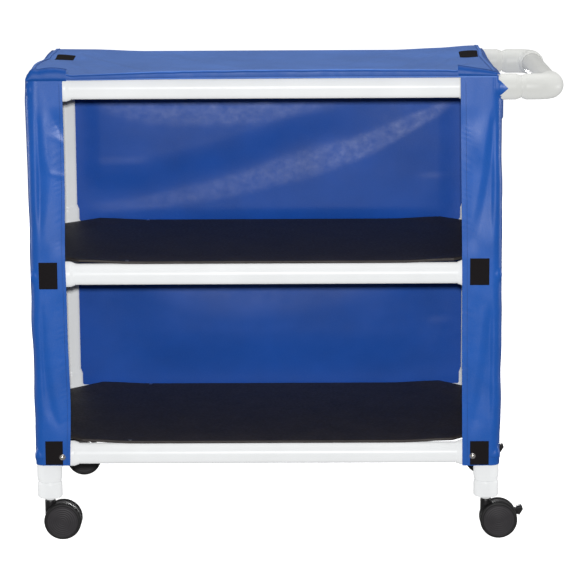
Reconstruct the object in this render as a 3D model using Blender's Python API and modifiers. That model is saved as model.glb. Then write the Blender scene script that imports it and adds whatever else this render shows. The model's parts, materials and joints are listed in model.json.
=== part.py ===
"""Covered shelf cart, modelled in metres with +Z up and the handle towards +X.

A frame of plastic pipe and corner fittings stands on four twin wheel casters. Two clipped
boards lie on its rails, a push handle is plugged into the right hand end, and a cloth cover
hangs round it with its front flap thrown back over the top.
"""
import math

import bmesh
import bpy
from mathutils import Matrix, Vector

# Frame
POST_SPACING_LENGTH = 0.880
POST_SPACING_DEPTH = 0.492
BOTTOM_RAIL_HEIGHT = 0.175
MIDDLE_RAIL_HEIGHT = 0.542
TOP_RAIL_HEIGHT = 0.912
PIPE_DIAMETER = 0.0422
PIPE_WALL = 0.0036
FITTING_DIAMETER = 0.0508
FITTING_REACH = 0.060
LEG_SOCKET_REACH = 0.056
SOCKET_DEPTH = 0.032
LIP_LENGTH = 0.008
LIP_DROP = 0.0026

# Handle
HANDLE_NECK = 0.0015
ELBOW_BEND_RADIUS = 0.030

# Leg caps
CAP_LENGTH = 0.033
CAP_LIP_LENGTH = 0.005
CAP_ROUNDING = 0.009
BOSS_DIAMETER = 0.019
BOSS_LENGTH = 0.0065

# Casters
WHEEL_DIAMETER = 0.075
WHEEL_WIDTH = 0.0160
WHEEL_EDGE = 0.003
WHEEL_DISH = 0.0010
CASTER_TRAIL = 0.0255
WEB_THICKNESS = 0.0110
WEB_INSET = 0.0030
WEB_SKIRT_RADIUS = 0.014
HOUSING_DIAMETER = 0.0220
HOUSING_BOTTOM = 0.046
WHEEL_ARCH_GAP = 0.0012
STEM_DIAMETER = 0.0110
STEM_LENGTH = 0.034
AXLE_DIAMETER = 0.0080
AXLE_GRIP = 0.0100
PEDAL_PIVOT_FORWARD = 0.008
PEDAL_PIVOT_RISE = 0.010
PEDAL_PIN_DIAMETER = 0.0040
PEDAL_EYE_DIAMETER = 0.0110
PEDAL_ARM_THICKNESS = 0.0054
PEDAL_PAD_WIDTH = 0.020
PEDAL_PAD_LENGTH = 0.0115
PEDAL_PAD_STANDOFF = 0.0045
CHEEK_THICKNESS = 0.0024

# Boards
BOARD_THICKNESS = 0.0050
BOARD_OVERHANG = 0.008
BOARD_CLIP = 0.076
BOARD_BEND_REACH = 0.110

# Cover
CLOTH_THICKNESS = 0.0012
LEFT_STRIP_WIDTH = 0.070
RIGHT_STRIP_WIDTH = 0.076
COVER_BOTTOM = 0.158
COVER_CORNER_RADIUS = 0.009
CLOTH_EASE = 0.0028
TOP_SAG = 0.006
TOP_FRONT_INSET = 0.010
PIPE_HOLE_MARGIN = 0.0015
FLAP_LENGTH = 0.790
FLAP_AIR = 0.0012
FLAP_FOLD_RISE = 0.0045
FLAP_FOLD_REACH = 0.040
FLAP_FOLD_DEPTH = 0.009
FLAP_HUMP = 0.015
FLAP_HUMP_REACH = 0.150
FLAP_RUCK = 0.005
FLAP_REAR_RADIUS = 0.0035
FLAP_WAVE = 0.007
FLAP_WAVE_COUNT = 3.5

# Fits and counts
CLEARANCE = 0.0003
OVERRUN = 0.010
MERGE = 0.00005
PIPE_SIDES = 16
WHEEL_SIDES = 16
SMALL_SIDES = 12
SMOOTH_ANGLE = math.radians(40)

# Places worked out from the sizes above
PIPE_RADIUS = PIPE_DIAMETER / 2
FITTING_RADIUS = FITTING_DIAMETER / 2
SEAT = FITTING_REACH - SOCKET_DEPTH
HALF_LENGTH = POST_SPACING_LENGTH / 2
HALF_DEPTH = POST_SPACING_DEPTH / 2
HANDLE_OFFSET = 2 * FITTING_REACH + HANDLE_NECK
CAP_TOP = BOTTOM_RAIL_HEIGHT - LEG_SOCKET_REACH - CLEARANCE
CAP_BOTTOM = CAP_TOP - CAP_LENGTH
BOSS_BOTTOM = CAP_BOTTOM - BOSS_LENGTH
HOUSING_TOP = BOSS_BOTTOM - CLEARANCE
WHEEL_RADIUS = WHEEL_DIAMETER / 2
COVER_X = HALF_LENGTH + FITTING_RADIUS + CLEARANCE
COVER_Y = HALF_DEPTH + FITTING_RADIUS + CLEARANCE
COVER_Z = TOP_RAIL_HEIGHT + FITTING_RADIUS + CLEARANCE
HEIGHTS = {"bottom": BOTTOM_RAIL_HEIGHT, "middle": MIDDLE_RAIL_HEIGHT, "top": TOP_RAIL_HEIGHT}
CORNERS = [("front_left", -1, -1), ("front_right", 1, -1), ("rear_left", -1, 1), ("rear_right", 1, 1)]


def clear_scene():
    """Removes every object, so that the file can be run again."""
    for obj in list(bpy.data.objects):
        bpy.data.objects.remove(obj, do_unlink=True)


def collection(name):
    """A new collection linked to the scene."""
    group = bpy.data.collections.new(name)
    bpy.context.scene.collection.children.link(group)
    return group


def material(name, colour, roughness, metallic=0.0):
    """A Principled material with a plain colour, roughness and metallic value."""
    made = bpy.data.materials.new(name)
    made.use_nodes = True
    shader = made.node_tree.nodes["Principled BSDF"]
    shader.inputs["Base Color"].default_value = (*colour, 1.0)
    shader.inputs["Roughness"].default_value = roughness
    shader.inputs["Metallic"].default_value = metallic
    made.diffuse_color = (*colour, 1.0)
    return made


def smooth(mesh):
    """Smooth shading that keeps the real edges sharp."""
    mesh.shade_smooth()
    mesh.set_sharp_from_angle(angle=SMOOTH_ANGLE)


def place(name, mesh, finish, parent, spot=(0, 0, 0), turn=(0, 0, 0)):
    """A named part with its own material, hung from its parent empty."""
    obj = bpy.data.objects.new(name, mesh)
    PARTS.objects.link(obj)
    if finish.name not in mesh.materials:
        mesh.materials.append(finish)
    obj.parent = parent
    obj.location = spot
    obj.rotation_euler = turn
    return obj


def empty(name, parent, spot):
    """A joint or frame marker."""
    obj = bpy.data.objects.new(name, None)
    PARTS.objects.link(obj)
    obj.parent = parent
    obj.location = spot
    return obj


def pattern(name, mesh):
    """A hidden pattern or cutter, kept for reference beside the parts."""
    obj = bpy.data.objects.new(name, mesh)
    CUTTERS.objects.link(obj)
    obj.hide_render = True
    obj.display_type = "WIRE"
    return obj


def evaluated(obj, name):
    """The object's mesh with its modifiers applied, as new mesh data."""
    bpy.context.view_layer.update()
    graph = bpy.context.evaluated_depsgraph_get()
    mesh = bpy.data.meshes.new_from_object(obj.evaluated_get(graph))
    mesh.name = name
    smooth(mesh)
    return mesh


def across(radius, sides):
    """Corner radius of a regular polygon whose flats lie at the given radius."""
    return radius / math.cos(math.pi / sides)


def turned(name, profile, sides, closed=False):
    """Turned mesh from (radius, height) points that run down its outer side.

    The flats of the polygon lie at the stated radii and face the X and Y axes.
    """
    wide = across(1, sides)
    mesh = bpy.data.meshes.new(name)
    points = [(radius * wide, 0, height) for radius, height in profile]
    edges = [(i, i + 1) for i in range(len(points) - 1)]
    if closed:
        edges.append((len(points) - 1, 0))
    mesh.from_pydata(points, edges, [])
    obj = pattern(name + "_profile", mesh)
    screw = obj.modifiers.new("Turn", "SCREW")
    screw.axis = "Z"
    screw.steps = sides
    screw.render_steps = sides
    screw.use_merge_vertices = True
    screw.merge_threshold = MERGE
    made = evaluated(obj, name)
    bpy.data.objects.remove(obj, do_unlink=True)
    made.transform(Matrix.Rotation(math.pi / sides, 4, "Z"))
    return made


def tube(name, length):
    """A length of pipe along Z, centred, open at both ends."""
    inner = PIPE_RADIUS - PIPE_WALL
    half = length / 2
    ring = [(PIPE_RADIUS, half), (PIPE_RADIUS, -half), (inner, -half), (inner, half)]
    return turned(name, ring, PIPE_SIDES, closed=True)


def arm(name, low, high):
    """A solid fitting arm along Z that tapers to a thinner lip at each end."""
    lip = FITTING_RADIUS - LIP_DROP
    shape = [(0, high), (lip, high), (FITTING_RADIUS, high - LIP_LENGTH),
             (FITTING_RADIUS, low + LIP_LENGTH), (lip, low), (0, low)]
    return turned(name, shape, PIPE_SIDES)


def domed_arm(name, low):
    """A fitting arm that hangs from a half ball at the centre of the corner."""
    steps = 4
    wide = across(1, PIPE_SIDES)
    ball = []
    for i in range(steps + 1):
        angle = math.pi / 2 * i / steps
        shrink = wide if 0 < i < steps else 1
        ball.append((FITTING_RADIUS * math.sin(angle) / shrink, FITTING_RADIUS * math.cos(angle)))
    lip = FITTING_RADIUS - LIP_DROP
    return turned(name, ball + [(FITTING_RADIUS, low + LIP_LENGTH), (lip, low), (0, low)], PIPE_SIDES)


def rod(name, radius, low, high, sides):
    """A plain cylinder along Z between two heights, flats at the radius."""
    form = bmesh.new()
    bmesh.ops.create_cone(form, cap_ends=True, segments=sides, radius1=across(radius, sides),
                          radius2=across(radius, sides), depth=high - low)
    bmesh.ops.rotate(form, verts=form.verts, matrix=Matrix.Rotation(math.pi / sides, 3, "Z"))
    bmesh.ops.translate(form, verts=form.verts, vec=(0, 0, (high + low) / 2))
    mesh = bpy.data.meshes.new(name)
    form.to_mesh(mesh)
    form.free()
    return mesh


def plate(name, outline, thickness):
    """A flat plate in the XZ plane, centred on Y, from an outline of (x, z) points."""
    curve = bpy.data.curves.new(name, "CURVE")
    curve.dimensions = "2D"
    curve.fill_mode = "BOTH"
    curve.extrude = thickness / 2
    spline = curve.splines.new("POLY")
    spline.points.add(len(outline) - 1)
    for point, (x, z) in zip(spline.points, outline):
        point.co = (x, z, 0, 1)
    spline.use_cyclic_u = True
    obj = pattern(name + "_outline", curve)
    mesh = evaluated(obj, name)
    bpy.data.objects.remove(obj, do_unlink=True)
    form = bmesh.new()
    form.from_mesh(mesh)
    bmesh.ops.remove_doubles(form, verts=form.verts, dist=MERGE)
    bmesh.ops.rotate(form, verts=form.verts, matrix=Matrix.Rotation(math.pi / 2, 3, "X"))
    bmesh.ops.recalc_face_normals(form, faces=form.faces)
    form.to_mesh(mesh)
    form.free()
    return mesh


def along(direction):
    """Rotation that lays a Z shape along the named axis."""
    quarter = math.pi / 2
    turns = {"+Z": (0, 0, 0), "-Z": (2 * quarter, 0, 0), "+X": (0, quarter, 0), "-X": (0, -quarter, 0),
             "+Y": (-quarter, 0, 0), "-Y": (quarter, 0, 0)}
    return turns[direction]


def combine(name, base, added, removed):
    """One mesh made of a base pattern, patterns joined to it and patterns cut from it."""
    steps = [(other, "UNION") for other in added] + [(other, "DIFFERENCE") for other in removed]
    for number, (other, kind) in enumerate(steps):
        cut = base.modifiers.new(f"{kind.title()} {number}", "BOOLEAN")
        cut.operation = kind
        cut.object = other
    mesh = evaluated(base, name)
    form = bmesh.new()
    form.from_mesh(mesh)
    bmesh.ops.remove_doubles(form, verts=form.verts, dist=MERGE)
    bmesh.ops.dissolve_degenerate(form, dist=MERGE, edges=form.edges)
    form.to_mesh(mesh)
    form.free()
    smooth(mesh)
    return mesh


def laid(name, mesh, direction="+Z", spot=(0, 0, 0)):
    """A hidden pattern laid along an axis at a spot."""
    obj = pattern(name, mesh)
    obj.rotation_euler = along(direction)
    obj.location = spot
    return obj


def fitting(name, domed=False, down=FITTING_REACH):
    """A corner fitting: an upright arm, sideways arms along +X and +Y, and a socket in every end.

    A domed fitting has no upper arm; its corner is closed by a half ball.
    """
    reach, radius, lip = FITTING_REACH, FITTING_RADIUS, FITTING_RADIUS - LIP_DROP
    body = domed_arm(name + "_core", -down) if domed else arm(name + "_core", -down, reach)
    base = pattern(name + "_pattern", body)
    shape = [(0, reach), (lip, reach), (radius, reach - LIP_LENGTH), (radius, 0), (0, 0)]
    side_arm = turned(name + "_arm", shape, PIPE_SIDES)
    bore = rod(name + "_bore", PIPE_RADIUS + CLEARANCE, SEAT, reach + OVERRUN, PIPE_SIDES)
    added = [laid(f"{name}_arm_{way}", side_arm, way) for way in ("+X", "+Y")]
    ends = ["+X", "+Y", "-Z"] + ([] if domed else ["+Z"])
    removed = [laid(f"{name}_bore_{way}", bore, way) for way in ends]
    return combine(name, base, added, removed)


def build_frame(root, pvc):
    """Rails, posts and corner fittings."""
    rail_gap = 2 * (SEAT + CLEARANCE)
    long_rail = tube("long_rail", POST_SPACING_LENGTH - rail_gap)
    short_rail = tube("short_rail", POST_SPACING_DEPTH - rail_gap)
    for level, height in HEIGHTS.items():
        for side, y in (("front", -HALF_DEPTH), ("rear", HALF_DEPTH)):
            place(f"{level}_{side}_rail", long_rail, pvc, root, (0, y, height), along("+X"))
        for side, x in (("left", -HALF_LENGTH), ("right", HALF_LENGTH)):
            place(f"{level}_{side}_rail", short_rail, pvc, root, (x, 0, height), along("+Y"))

    low_post = tube("lower_post", MIDDLE_RAIL_HEIGHT - BOTTOM_RAIL_HEIGHT - rail_gap)
    high_post = tube("upper_post", TOP_RAIL_HEIGHT - MIDDLE_RAIL_HEIGHT - rail_gap)
    low_middle = (BOTTOM_RAIL_HEIGHT + MIDDLE_RAIL_HEIGHT) / 2
    high_middle = (MIDDLE_RAIL_HEIGHT + TOP_RAIL_HEIGHT) / 2
    for corner, sx, sy in CORNERS:
        spot = (sx * HALF_LENGTH, sy * HALF_DEPTH)
        place(f"{corner}_lower_post", low_post, pvc, root, (*spot, low_middle))
        place(f"{corner}_upper_post", high_post, pvc, root, (*spot, high_middle))

    four_way = fitting("four_way_fitting")
    leg_way = fitting("leg_fitting", down=LEG_SOCKET_REACH)
    three_way = fitting("three_way_fitting", domed=True)
    quarter = math.pi / 2
    turns = {"front_left": 0, "front_right": 1, "rear_right": 2, "rear_left": 3}
    for corner, sx, sy in CORNERS:
        spot = (sx * HALF_LENGTH, sy * HALF_DEPTH)
        turn = (0, 0, turns[corner] * quarter)
        for level, shape in (("bottom", leg_way), ("middle", four_way)):
            place(f"{level}_{corner}_fitting", shape, pvc, root, (*spot, HEIGHTS[level]), turn)
        shape = three_way
        if sx > 0:
            shape = four_way
            turn = (0 if sy < 0 else math.pi, quarter, 0)
        place(f"top_{corner}_fitting", shape, pvc, root, (*spot, TOP_RAIL_HEIGHT), turn)


def elbow_mesh():
    """A street elbow: a spigot for the fitting, a bend, and a socket for the handle bar.

    It is modelled with its bend's corner at the origin, spigot towards -X, socket towards +Y.
    """
    curve = bpy.data.curves.new("elbow", "CURVE")
    curve.dimensions = "3D"
    curve.bevel_depth = across(FITTING_RADIUS, PIPE_SIDES)
    curve.bevel_resolution = PIPE_SIDES // 2 - 2
    curve.resolution_u = 1
    curve.use_fill_caps = True
    bend = ELBOW_BEND_RADIUS
    steps = 4
    thin = 1 - LIP_DROP / FITTING_RADIUS
    route = [(-FITTING_REACH, 0, thin), (-FITTING_REACH + LIP_LENGTH, 0, 1)]
    for i in range(steps + 1):
        angle = math.pi / 2 * i / steps
        route.append((-bend + bend * math.sin(angle), bend - bend * math.cos(angle), 1))
    route += [(0, FITTING_REACH - LIP_LENGTH, 1), (0, FITTING_REACH, thin)]
    spline = curve.splines.new("POLY")
    spline.points.add(len(route) - 1)
    for point, (x, y, share) in zip(spline.points, route):
        point.co = (x, y, 0, 1)
        point.radius = share
    guide = pattern("elbow_route", curve)
    mesh = evaluated(guide, "elbow_body")
    bpy.data.objects.remove(guide, do_unlink=True)
    form = bmesh.new()
    form.from_mesh(mesh)
    bmesh.ops.remove_doubles(form, verts=form.verts, dist=MERGE)
    bmesh.ops.recalc_face_normals(form, faces=form.faces)
    form.to_mesh(mesh)
    form.free()
    base = pattern("elbow_pattern", mesh)
    spigot_end = FITTING_REACH + HANDLE_NECK + SOCKET_DEPTH - CLEARANCE
    spigot = laid("elbow_spigot", rod("elbow_spigot", PIPE_RADIUS, SEAT, spigot_end, PIPE_SIDES), "-X")
    hole = rod("elbow_bore", PIPE_RADIUS + CLEARANCE, SEAT, FITTING_REACH + OVERRUN, PIPE_SIDES)
    bore = laid("elbow_bore", hole, "+Y")
    return combine("handle_elbow", base, [spigot], [bore])


def build_handle(root, pvc):
    """Two elbows plugged into the right hand top fittings, and the push bar between them."""
    front = elbow_mesh()
    rear = front.copy()
    rear.transform(Matrix.Scale(-1, 4, (0, 1, 0)))
    rear.flip_normals()
    x = HALF_LENGTH + HANDLE_OFFSET
    place("handle_front_elbow", front, pvc, root, (x, -HALF_DEPTH, TOP_RAIL_HEIGHT))
    place("handle_rear_elbow", rear, pvc, root, (x, HALF_DEPTH, TOP_RAIL_HEIGHT))
    bar = tube("handle_bar", POST_SPACING_DEPTH - 2 * (SEAT + CLEARANCE))
    place("handle_bar", bar, pvc, root, (x, 0, TOP_RAIL_HEIGHT), along("+Y"))


def cap_mesh():
    """A leg cap: a plug for the fitting's lower socket, a collar, and a boss bored for the stem."""
    plug_top = LEG_SOCKET_REACH - SEAT - CLEARANCE
    bore = STEM_DIAMETER / 2 + CLEARANCE
    low = -CAP_LENGTH
    boss = low - BOSS_LENGTH
    roof = boss + STEM_LENGTH + 2 * CLEARANCE
    rounded = CAP_ROUNDING * (1 - math.cos(math.pi / 4))
    shape = [(0, plug_top), (PIPE_RADIUS, plug_top), (PIPE_RADIUS, 0), (FITTING_RADIUS - LIP_DROP, 0),
             (FITTING_RADIUS, -CAP_LIP_LENGTH), (FITTING_RADIUS, low + CAP_ROUNDING),
             (FITTING_RADIUS - rounded, low + rounded), (FITTING_RADIUS - CAP_ROUNDING, low),
             (BOSS_DIAMETER / 2, low), (BOSS_DIAMETER / 2, boss), (bore, boss), (bore, roof), (0, roof)]
    return turned("leg_cap", shape, PIPE_SIDES)


def arc(centre, radius, start, stop, steps):
    """Points on an arc of the XZ plane, angles in degrees from +X towards +Z."""
    x, z = centre
    angles = [math.radians(start + (stop - start) * i / steps) for i in range(steps + 1)]
    return [(x + radius * math.cos(a), z + radius * math.sin(a)) for a in angles]


def pedal_pivot():
    """Pedal pin in the caster's own frame: stem axis at x = 0, floor at z = 0."""
    return CASTER_TRAIL + PEDAL_PIVOT_FORWARD, WHEEL_RADIUS + PEDAL_PIVOT_RISE


def caster_mesh(name, braked):
    """Caster body: swivel stem, housing, centre web between the wheels, and axle."""
    web_radius = WHEEL_RADIUS - WEB_INSET
    hub = (CASTER_TRAIL, WHEEL_RADIUS)
    outline = arc(hub, web_radius, -15, 165, 14) + arc(hub, WEB_SKIRT_RADIUS, 215, 305, 4)
    base = pattern(name + "_pattern", plate(name + "_web", outline, WEB_THICKNESS))
    core = rod(name + "_core", HOUSING_DIAMETER / 2, HOUSING_BOTTOM, HOUSING_TOP, SMALL_SIDES)
    slab = WEB_THICKNESS / 2 - CLEARANCE
    arch = rod(name + "_arch", WHEEL_RADIUS + WHEEL_ARCH_GAP, slab, HOUSING_DIAMETER, WHEEL_SIDES)
    arches = [laid(f"{name}_arch_{way}", arch, way, (CASTER_TRAIL, 0, WHEEL_RADIUS)) for way in ("-Y", "+Y")]
    housing = combine(name + "_housing", pattern(name + "_core", core), [], arches)
    stem_low = (HOUSING_BOTTOM + HOUSING_TOP) / 2
    stem = rod(name + "_stem", STEM_DIAMETER / 2, stem_low, BOSS_BOTTOM + STEM_LENGTH, SMALL_SIDES)
    half_axle = WEB_THICKNESS / 2 + AXLE_GRIP
    axle = rod(name + "_axle", AXLE_DIAMETER / 2, -half_axle, half_axle, SMALL_SIDES)
    added = [laid(name + "_housing", housing), laid(name + "_stem", stem),
             laid(name + "_axle", axle, "+Y", (CASTER_TRAIL, 0, WHEEL_RADIUS))]
    removed = []
    if braked:
        x, z = pedal_pivot()
        eye = PEDAL_EYE_DIAMETER / 2 + 4 * CLEARANCE
        slot = arc((x, z), eye, 110, 225, 5)
        slot += [(hub[0] + web_radius + OVERRUN, hub[1] - web_radius / 2),
                 (hub[0] + web_radius + OVERRUN, hub[1] + web_radius + OVERRUN),
                 (hub[0] + web_radius / 2, hub[1] + web_radius + OVERRUN)]
        slot_plate = plate(name + "_slot", slot, WEB_THICKNESS - 2 * CHEEK_THICKNESS)
        pin_radius = PEDAL_PIN_DIAMETER / 2 + CLEARANCE
        pin_hole = rod(name + "_pin_hole", pin_radius, -WEB_THICKNESS, WEB_THICKNESS, SMALL_SIDES)
        removed = [laid(name + "_slot", slot_plate), laid(name + "_pin_hole", pin_hole, "+Y", (x, 0, z))]
    return combine(name, base, added, removed)


def pedal_mesh():
    """Brake pedal, drawn about its own pin: an eye, an arm, a toe pad and the pin."""
    x, z = pedal_pivot()
    hub = (CASTER_TRAIL - x, WHEEL_RADIUS - z)
    inner = WHEEL_RADIUS + PEDAL_PAD_STANDOFF
    outer = inner + PEDAL_PAD_LENGTH
    eye = PEDAL_EYE_DIAMETER / 2
    pad_low = arc(hub, inner, 9, 33, 3)
    pad = arc(hub, inner, 33, 9, 3) + arc(hub, outer, 22, 30, 1)
    root_of_pad = arc(hub, inner + PEDAL_PAD_STANDOFF, 18, 26, 1)[0]
    lever = arc((0, 0), eye, 100, 260, 6) + [pad_low[0], root_of_pad, pad_low[-1]]
    base = pattern("pedal_pattern", plate("pedal_lever", lever, PEDAL_ARM_THICKNESS))
    toe = laid("pedal_toe", plate("pedal_toe", pad, PEDAL_PAD_WIDTH))
    half_pin = WEB_THICKNESS / 2 - CLEARANCE
    pin = rod("pedal_pin", PEDAL_PIN_DIAMETER / 2, -half_pin, half_pin, SMALL_SIDES)
    return combine("brake_pedal", base, [toe, laid("pedal_pin", pin, "+Y")], [])


def wheel_mesh():
    """One wheel of a twin pair, outer face towards +Z: dished disc, round tread, blind bore."""
    inner = WEB_THICKNESS / 2 + CLEARANCE
    outer = inner + WHEEL_WIDTH
    bore = AXLE_DIAMETER / 2 + CLEARANCE
    deep = WEB_THICKNESS / 2 + AXLE_GRIP + CLEARANCE
    dish = WHEEL_RADIUS - 2 * WHEEL_EDGE
    shape = [(0, outer - WHEEL_DISH), (dish - WHEEL_DISH, outer - WHEEL_DISH), (dish, outer),
             (WHEEL_RADIUS - WHEEL_EDGE, outer), (WHEEL_RADIUS, outer - WHEEL_EDGE), (WHEEL_RADIUS, inner),
             (bore, inner), (bore, deep), (0, deep)]
    return turned("caster_wheel", shape, WHEEL_SIDES)


def build_casters(root, pvc, black, rubber):
    """Leg caps, casters that swivel on the stem axis, spinning wheels and two brake pedals."""
    cap = cap_mesh()
    plain = caster_mesh("caster_body", False)
    braked = caster_mesh("braked_caster_body", True)
    wheel = wheel_mesh()
    pedal = pedal_mesh()
    for corner, sx, sy in CORNERS:
        x, y = sx * HALF_LENGTH, sy * HALF_DEPTH
        place(f"{corner}_leg_cap", cap, pvc, root, (x, y, CAP_TOP))
        swivel = empty(f"{corner}_swivel_axis", root, (x, y, 0))
        place(f"{corner}_caster_body", braked if sx > 0 else plain, black, swivel)
        for side, way in (("near", "-Y"), ("far", "+Y")):
            hub = (CASTER_TRAIL, 0, WHEEL_RADIUS)
            place(f"{corner}_{side}_wheel", wheel, rubber, swivel, hub, along(way))
        if sx > 0:
            pin_x, pin_z = pedal_pivot()
            place(f"{corner}_brake_pedal", pedal, black, swivel, (pin_x, 0, pin_z))


def board_mesh():
    """A clipped board that rides up on the corner fittings, as a surface to be thickened."""
    columns, rows = 14, 8
    half_x = HALF_LENGTH + BOARD_OVERHANG
    half_y = HALF_DEPTH + BOARD_OVERHANG
    form = bmesh.new()
    bmesh.ops.create_grid(form, x_segments=columns, y_segments=rows, size=1)
    for vert in form.verts:
        vert.co = Vector((vert.co.x * half_x, vert.co.y * half_y, 0))
    for sx in (-1, 1):
        for sy in (-1, 1):
            normal = Vector((sx, sy, 0)).normalized()
            spot = (sx * (half_x - BOARD_CLIP), sy * half_y, 0)
            everything = form.verts[:] + form.edges[:] + form.faces[:]
            bmesh.ops.bisect_plane(form, geom=everything, plane_co=spot, plane_no=normal, clear_outer=True)
    lift = FITTING_RADIUS - PIPE_RADIUS
    for vert in form.verts:
        gap = (half_x - abs(vert.co.x)) + (half_y - abs(vert.co.y)) - BOARD_CLIP
        share = min(max(gap / BOARD_BEND_REACH, 0), 1)
        vert.co.z = lift * (1 - share * share * (3 - 2 * share))
    mesh = bpy.data.meshes.new("board")
    form.to_mesh(mesh)
    form.free()
    return mesh


def thicken(obj, thickness):
    """A Solidify wall on the side that the faces look towards."""
    wall = obj.modifiers.new("Wall", "SOLIDIFY")
    wall.thickness = thickness
    wall.offset = 1
    wall.use_even_offset = True


def build_boards(root, black):
    """The two shelves, lying on the middle and bottom rails."""
    for name, level in (("upper_shelf_board", "middle"), ("lower_shelf_board", "bottom")):
        board = place(name, board_mesh(), black, root, (0, 0, HEIGHTS[level] + PIPE_RADIUS + CLEARANCE))
        thicken(board, BOARD_THICKNESS)


def ease(share):
    """A smooth step from 0 to 1."""
    share = min(max(share, 0), 1)
    return share * share * (3 - 2 * share)


def near_corner(place_along, half):
    """1 over a fitting's arm, falling to 0 along the rail."""
    return 1 - ease((half - abs(place_along) - FITTING_REACH) / (2 * FITTING_REACH))


def middle_sag(place_along, half):
    """0 over a rail, 1 in the middle of the span."""
    share = min(abs(place_along) / half, 1)
    return math.cos(share * math.pi / 2) ** 2


def top_level(x, y):
    """Underside of the cloth on top: high on the fittings, lower on the rails, slack between."""
    high = near_corner(x, HALF_LENGTH) * near_corner(y, HALF_DEPTH)
    sag = middle_sag(x, HALF_LENGTH) * middle_sag(y, HALF_DEPTH)
    return COVER_Z - CLOTH_EASE * (1 - high) - TOP_SAG * sag


def slack(height):
    """How far a hanging panel draws in between the fittings, from 0 to 1."""
    for low, high in ((BOTTOM_RAIL_HEIGHT, MIDDLE_RAIL_HEIGHT), (MIDDLE_RAIL_HEIGHT, TOP_RAIL_HEIGHT)):
        if low + FITTING_REACH < height < high - FITTING_REACH:
            share = (height - low - FITTING_REACH) / (high - low - 2 * FITTING_REACH)
            return math.sin(share * math.pi) ** 2
    return 0


def sheet(name, across_list, down_list, spot):
    """A grid surface whose points are spot(column value, row value)."""
    mesh = bpy.data.meshes.new(name)
    form = bmesh.new()
    columns, rows = len(across_list), len(down_list)
    bmesh.ops.create_grid(form, x_segments=columns - 1, y_segments=rows - 1, size=1)
    for vert in form.verts:
        column = round((vert.co.x + 1) / 2 * (columns - 1))
        row = round((vert.co.y + 1) / 2 * (rows - 1))
        vert.co = Vector(spot(across_list[column], down_list[row]))
    form.to_mesh(mesh)
    form.free()
    smooth(mesh)
    return mesh


def spread(start, stop, count):
    """Evenly spaced values, both ends included."""
    return [start + (stop - start) * i / count for i in range(count + 1)]


def hanging_heights():
    """Shares of the drop from the top edge to the hem, closest at the fittings."""
    return spread(0, 1, 10)


def side_panel_mesh(side):
    """Side panel with its front return strip: a plan line of strip, corner and side, dropped to the hem."""
    radius = COVER_CORNER_RADIUS
    middle_x, middle_y = COVER_X - radius, -COVER_Y + radius
    width = LEFT_STRIP_WIDTH if side < 0 else RIGHT_STRIP_WIDTH
    plan = [(COVER_X - d, -COVER_Y, 0, -1) for d in spread(width, radius, 3)]
    for i in range(1, 4):
        out_x, out_y = math.sin(math.pi / 2 * i / 4), -math.cos(math.pi / 2 * i / 4)
        plan.append((middle_x + radius * out_x, middle_y + radius * out_y, out_x, out_y))
    plan += [(COVER_X, y, 1, 0) for y in spread(-COVER_Y + radius, COVER_Y - CLEARANCE, 9)]
    columns = list(range(len(plan)))
    if side < 0:
        columns.reverse()

    def spot(column, share):
        x, y, out_x, out_y = plan[column]
        top = top_level(x, y) - CLEARANCE
        height = top + (COVER_BOTTOM - top) * share
        draw = CLOTH_EASE * slack(height)
        return side * (x - out_x * draw), y - out_y * draw, height

    return sheet("side_panel", columns, [1 - s for s in hanging_heights()], spot)


def back_panel_mesh():
    """Back panel between the side panels' outer faces, with soft upright folds."""
    half = COVER_X + CLOTH_THICKNESS

    def spot(x, share):
        top = top_level(x, COVER_Y) - CLEARANCE
        height = top + (COVER_BOTTOM - top) * share
        return x, COVER_Y - CLOTH_EASE * slack(height) * math.sin(math.pi * (x / half + 1) / 2) ** 2, height

    return sheet("back_panel", spread(half, -half, 10), [1 - s for s in hanging_heights()], spot)


def top_columns():
    """Places across the cart where the top cloths have their points."""
    half = COVER_X + CLOTH_THICKNESS
    inner = HALF_LENGTH - 3 * FITTING_REACH
    side = spread(inner, half, 4)
    return [-x for x in reversed(side)] + spread(-inner, inner, 4)[1:-1] + side


def top_panel_mesh():
    """Top panel, lying on the fittings and slack between them."""
    rows = spread(-COVER_Y + TOP_FRONT_INSET, COVER_Y + CLOTH_THICKNESS, 8)
    return sheet("top_panel", top_columns(), rows, lambda x, y: (x, y, top_level(x, y)))


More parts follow.
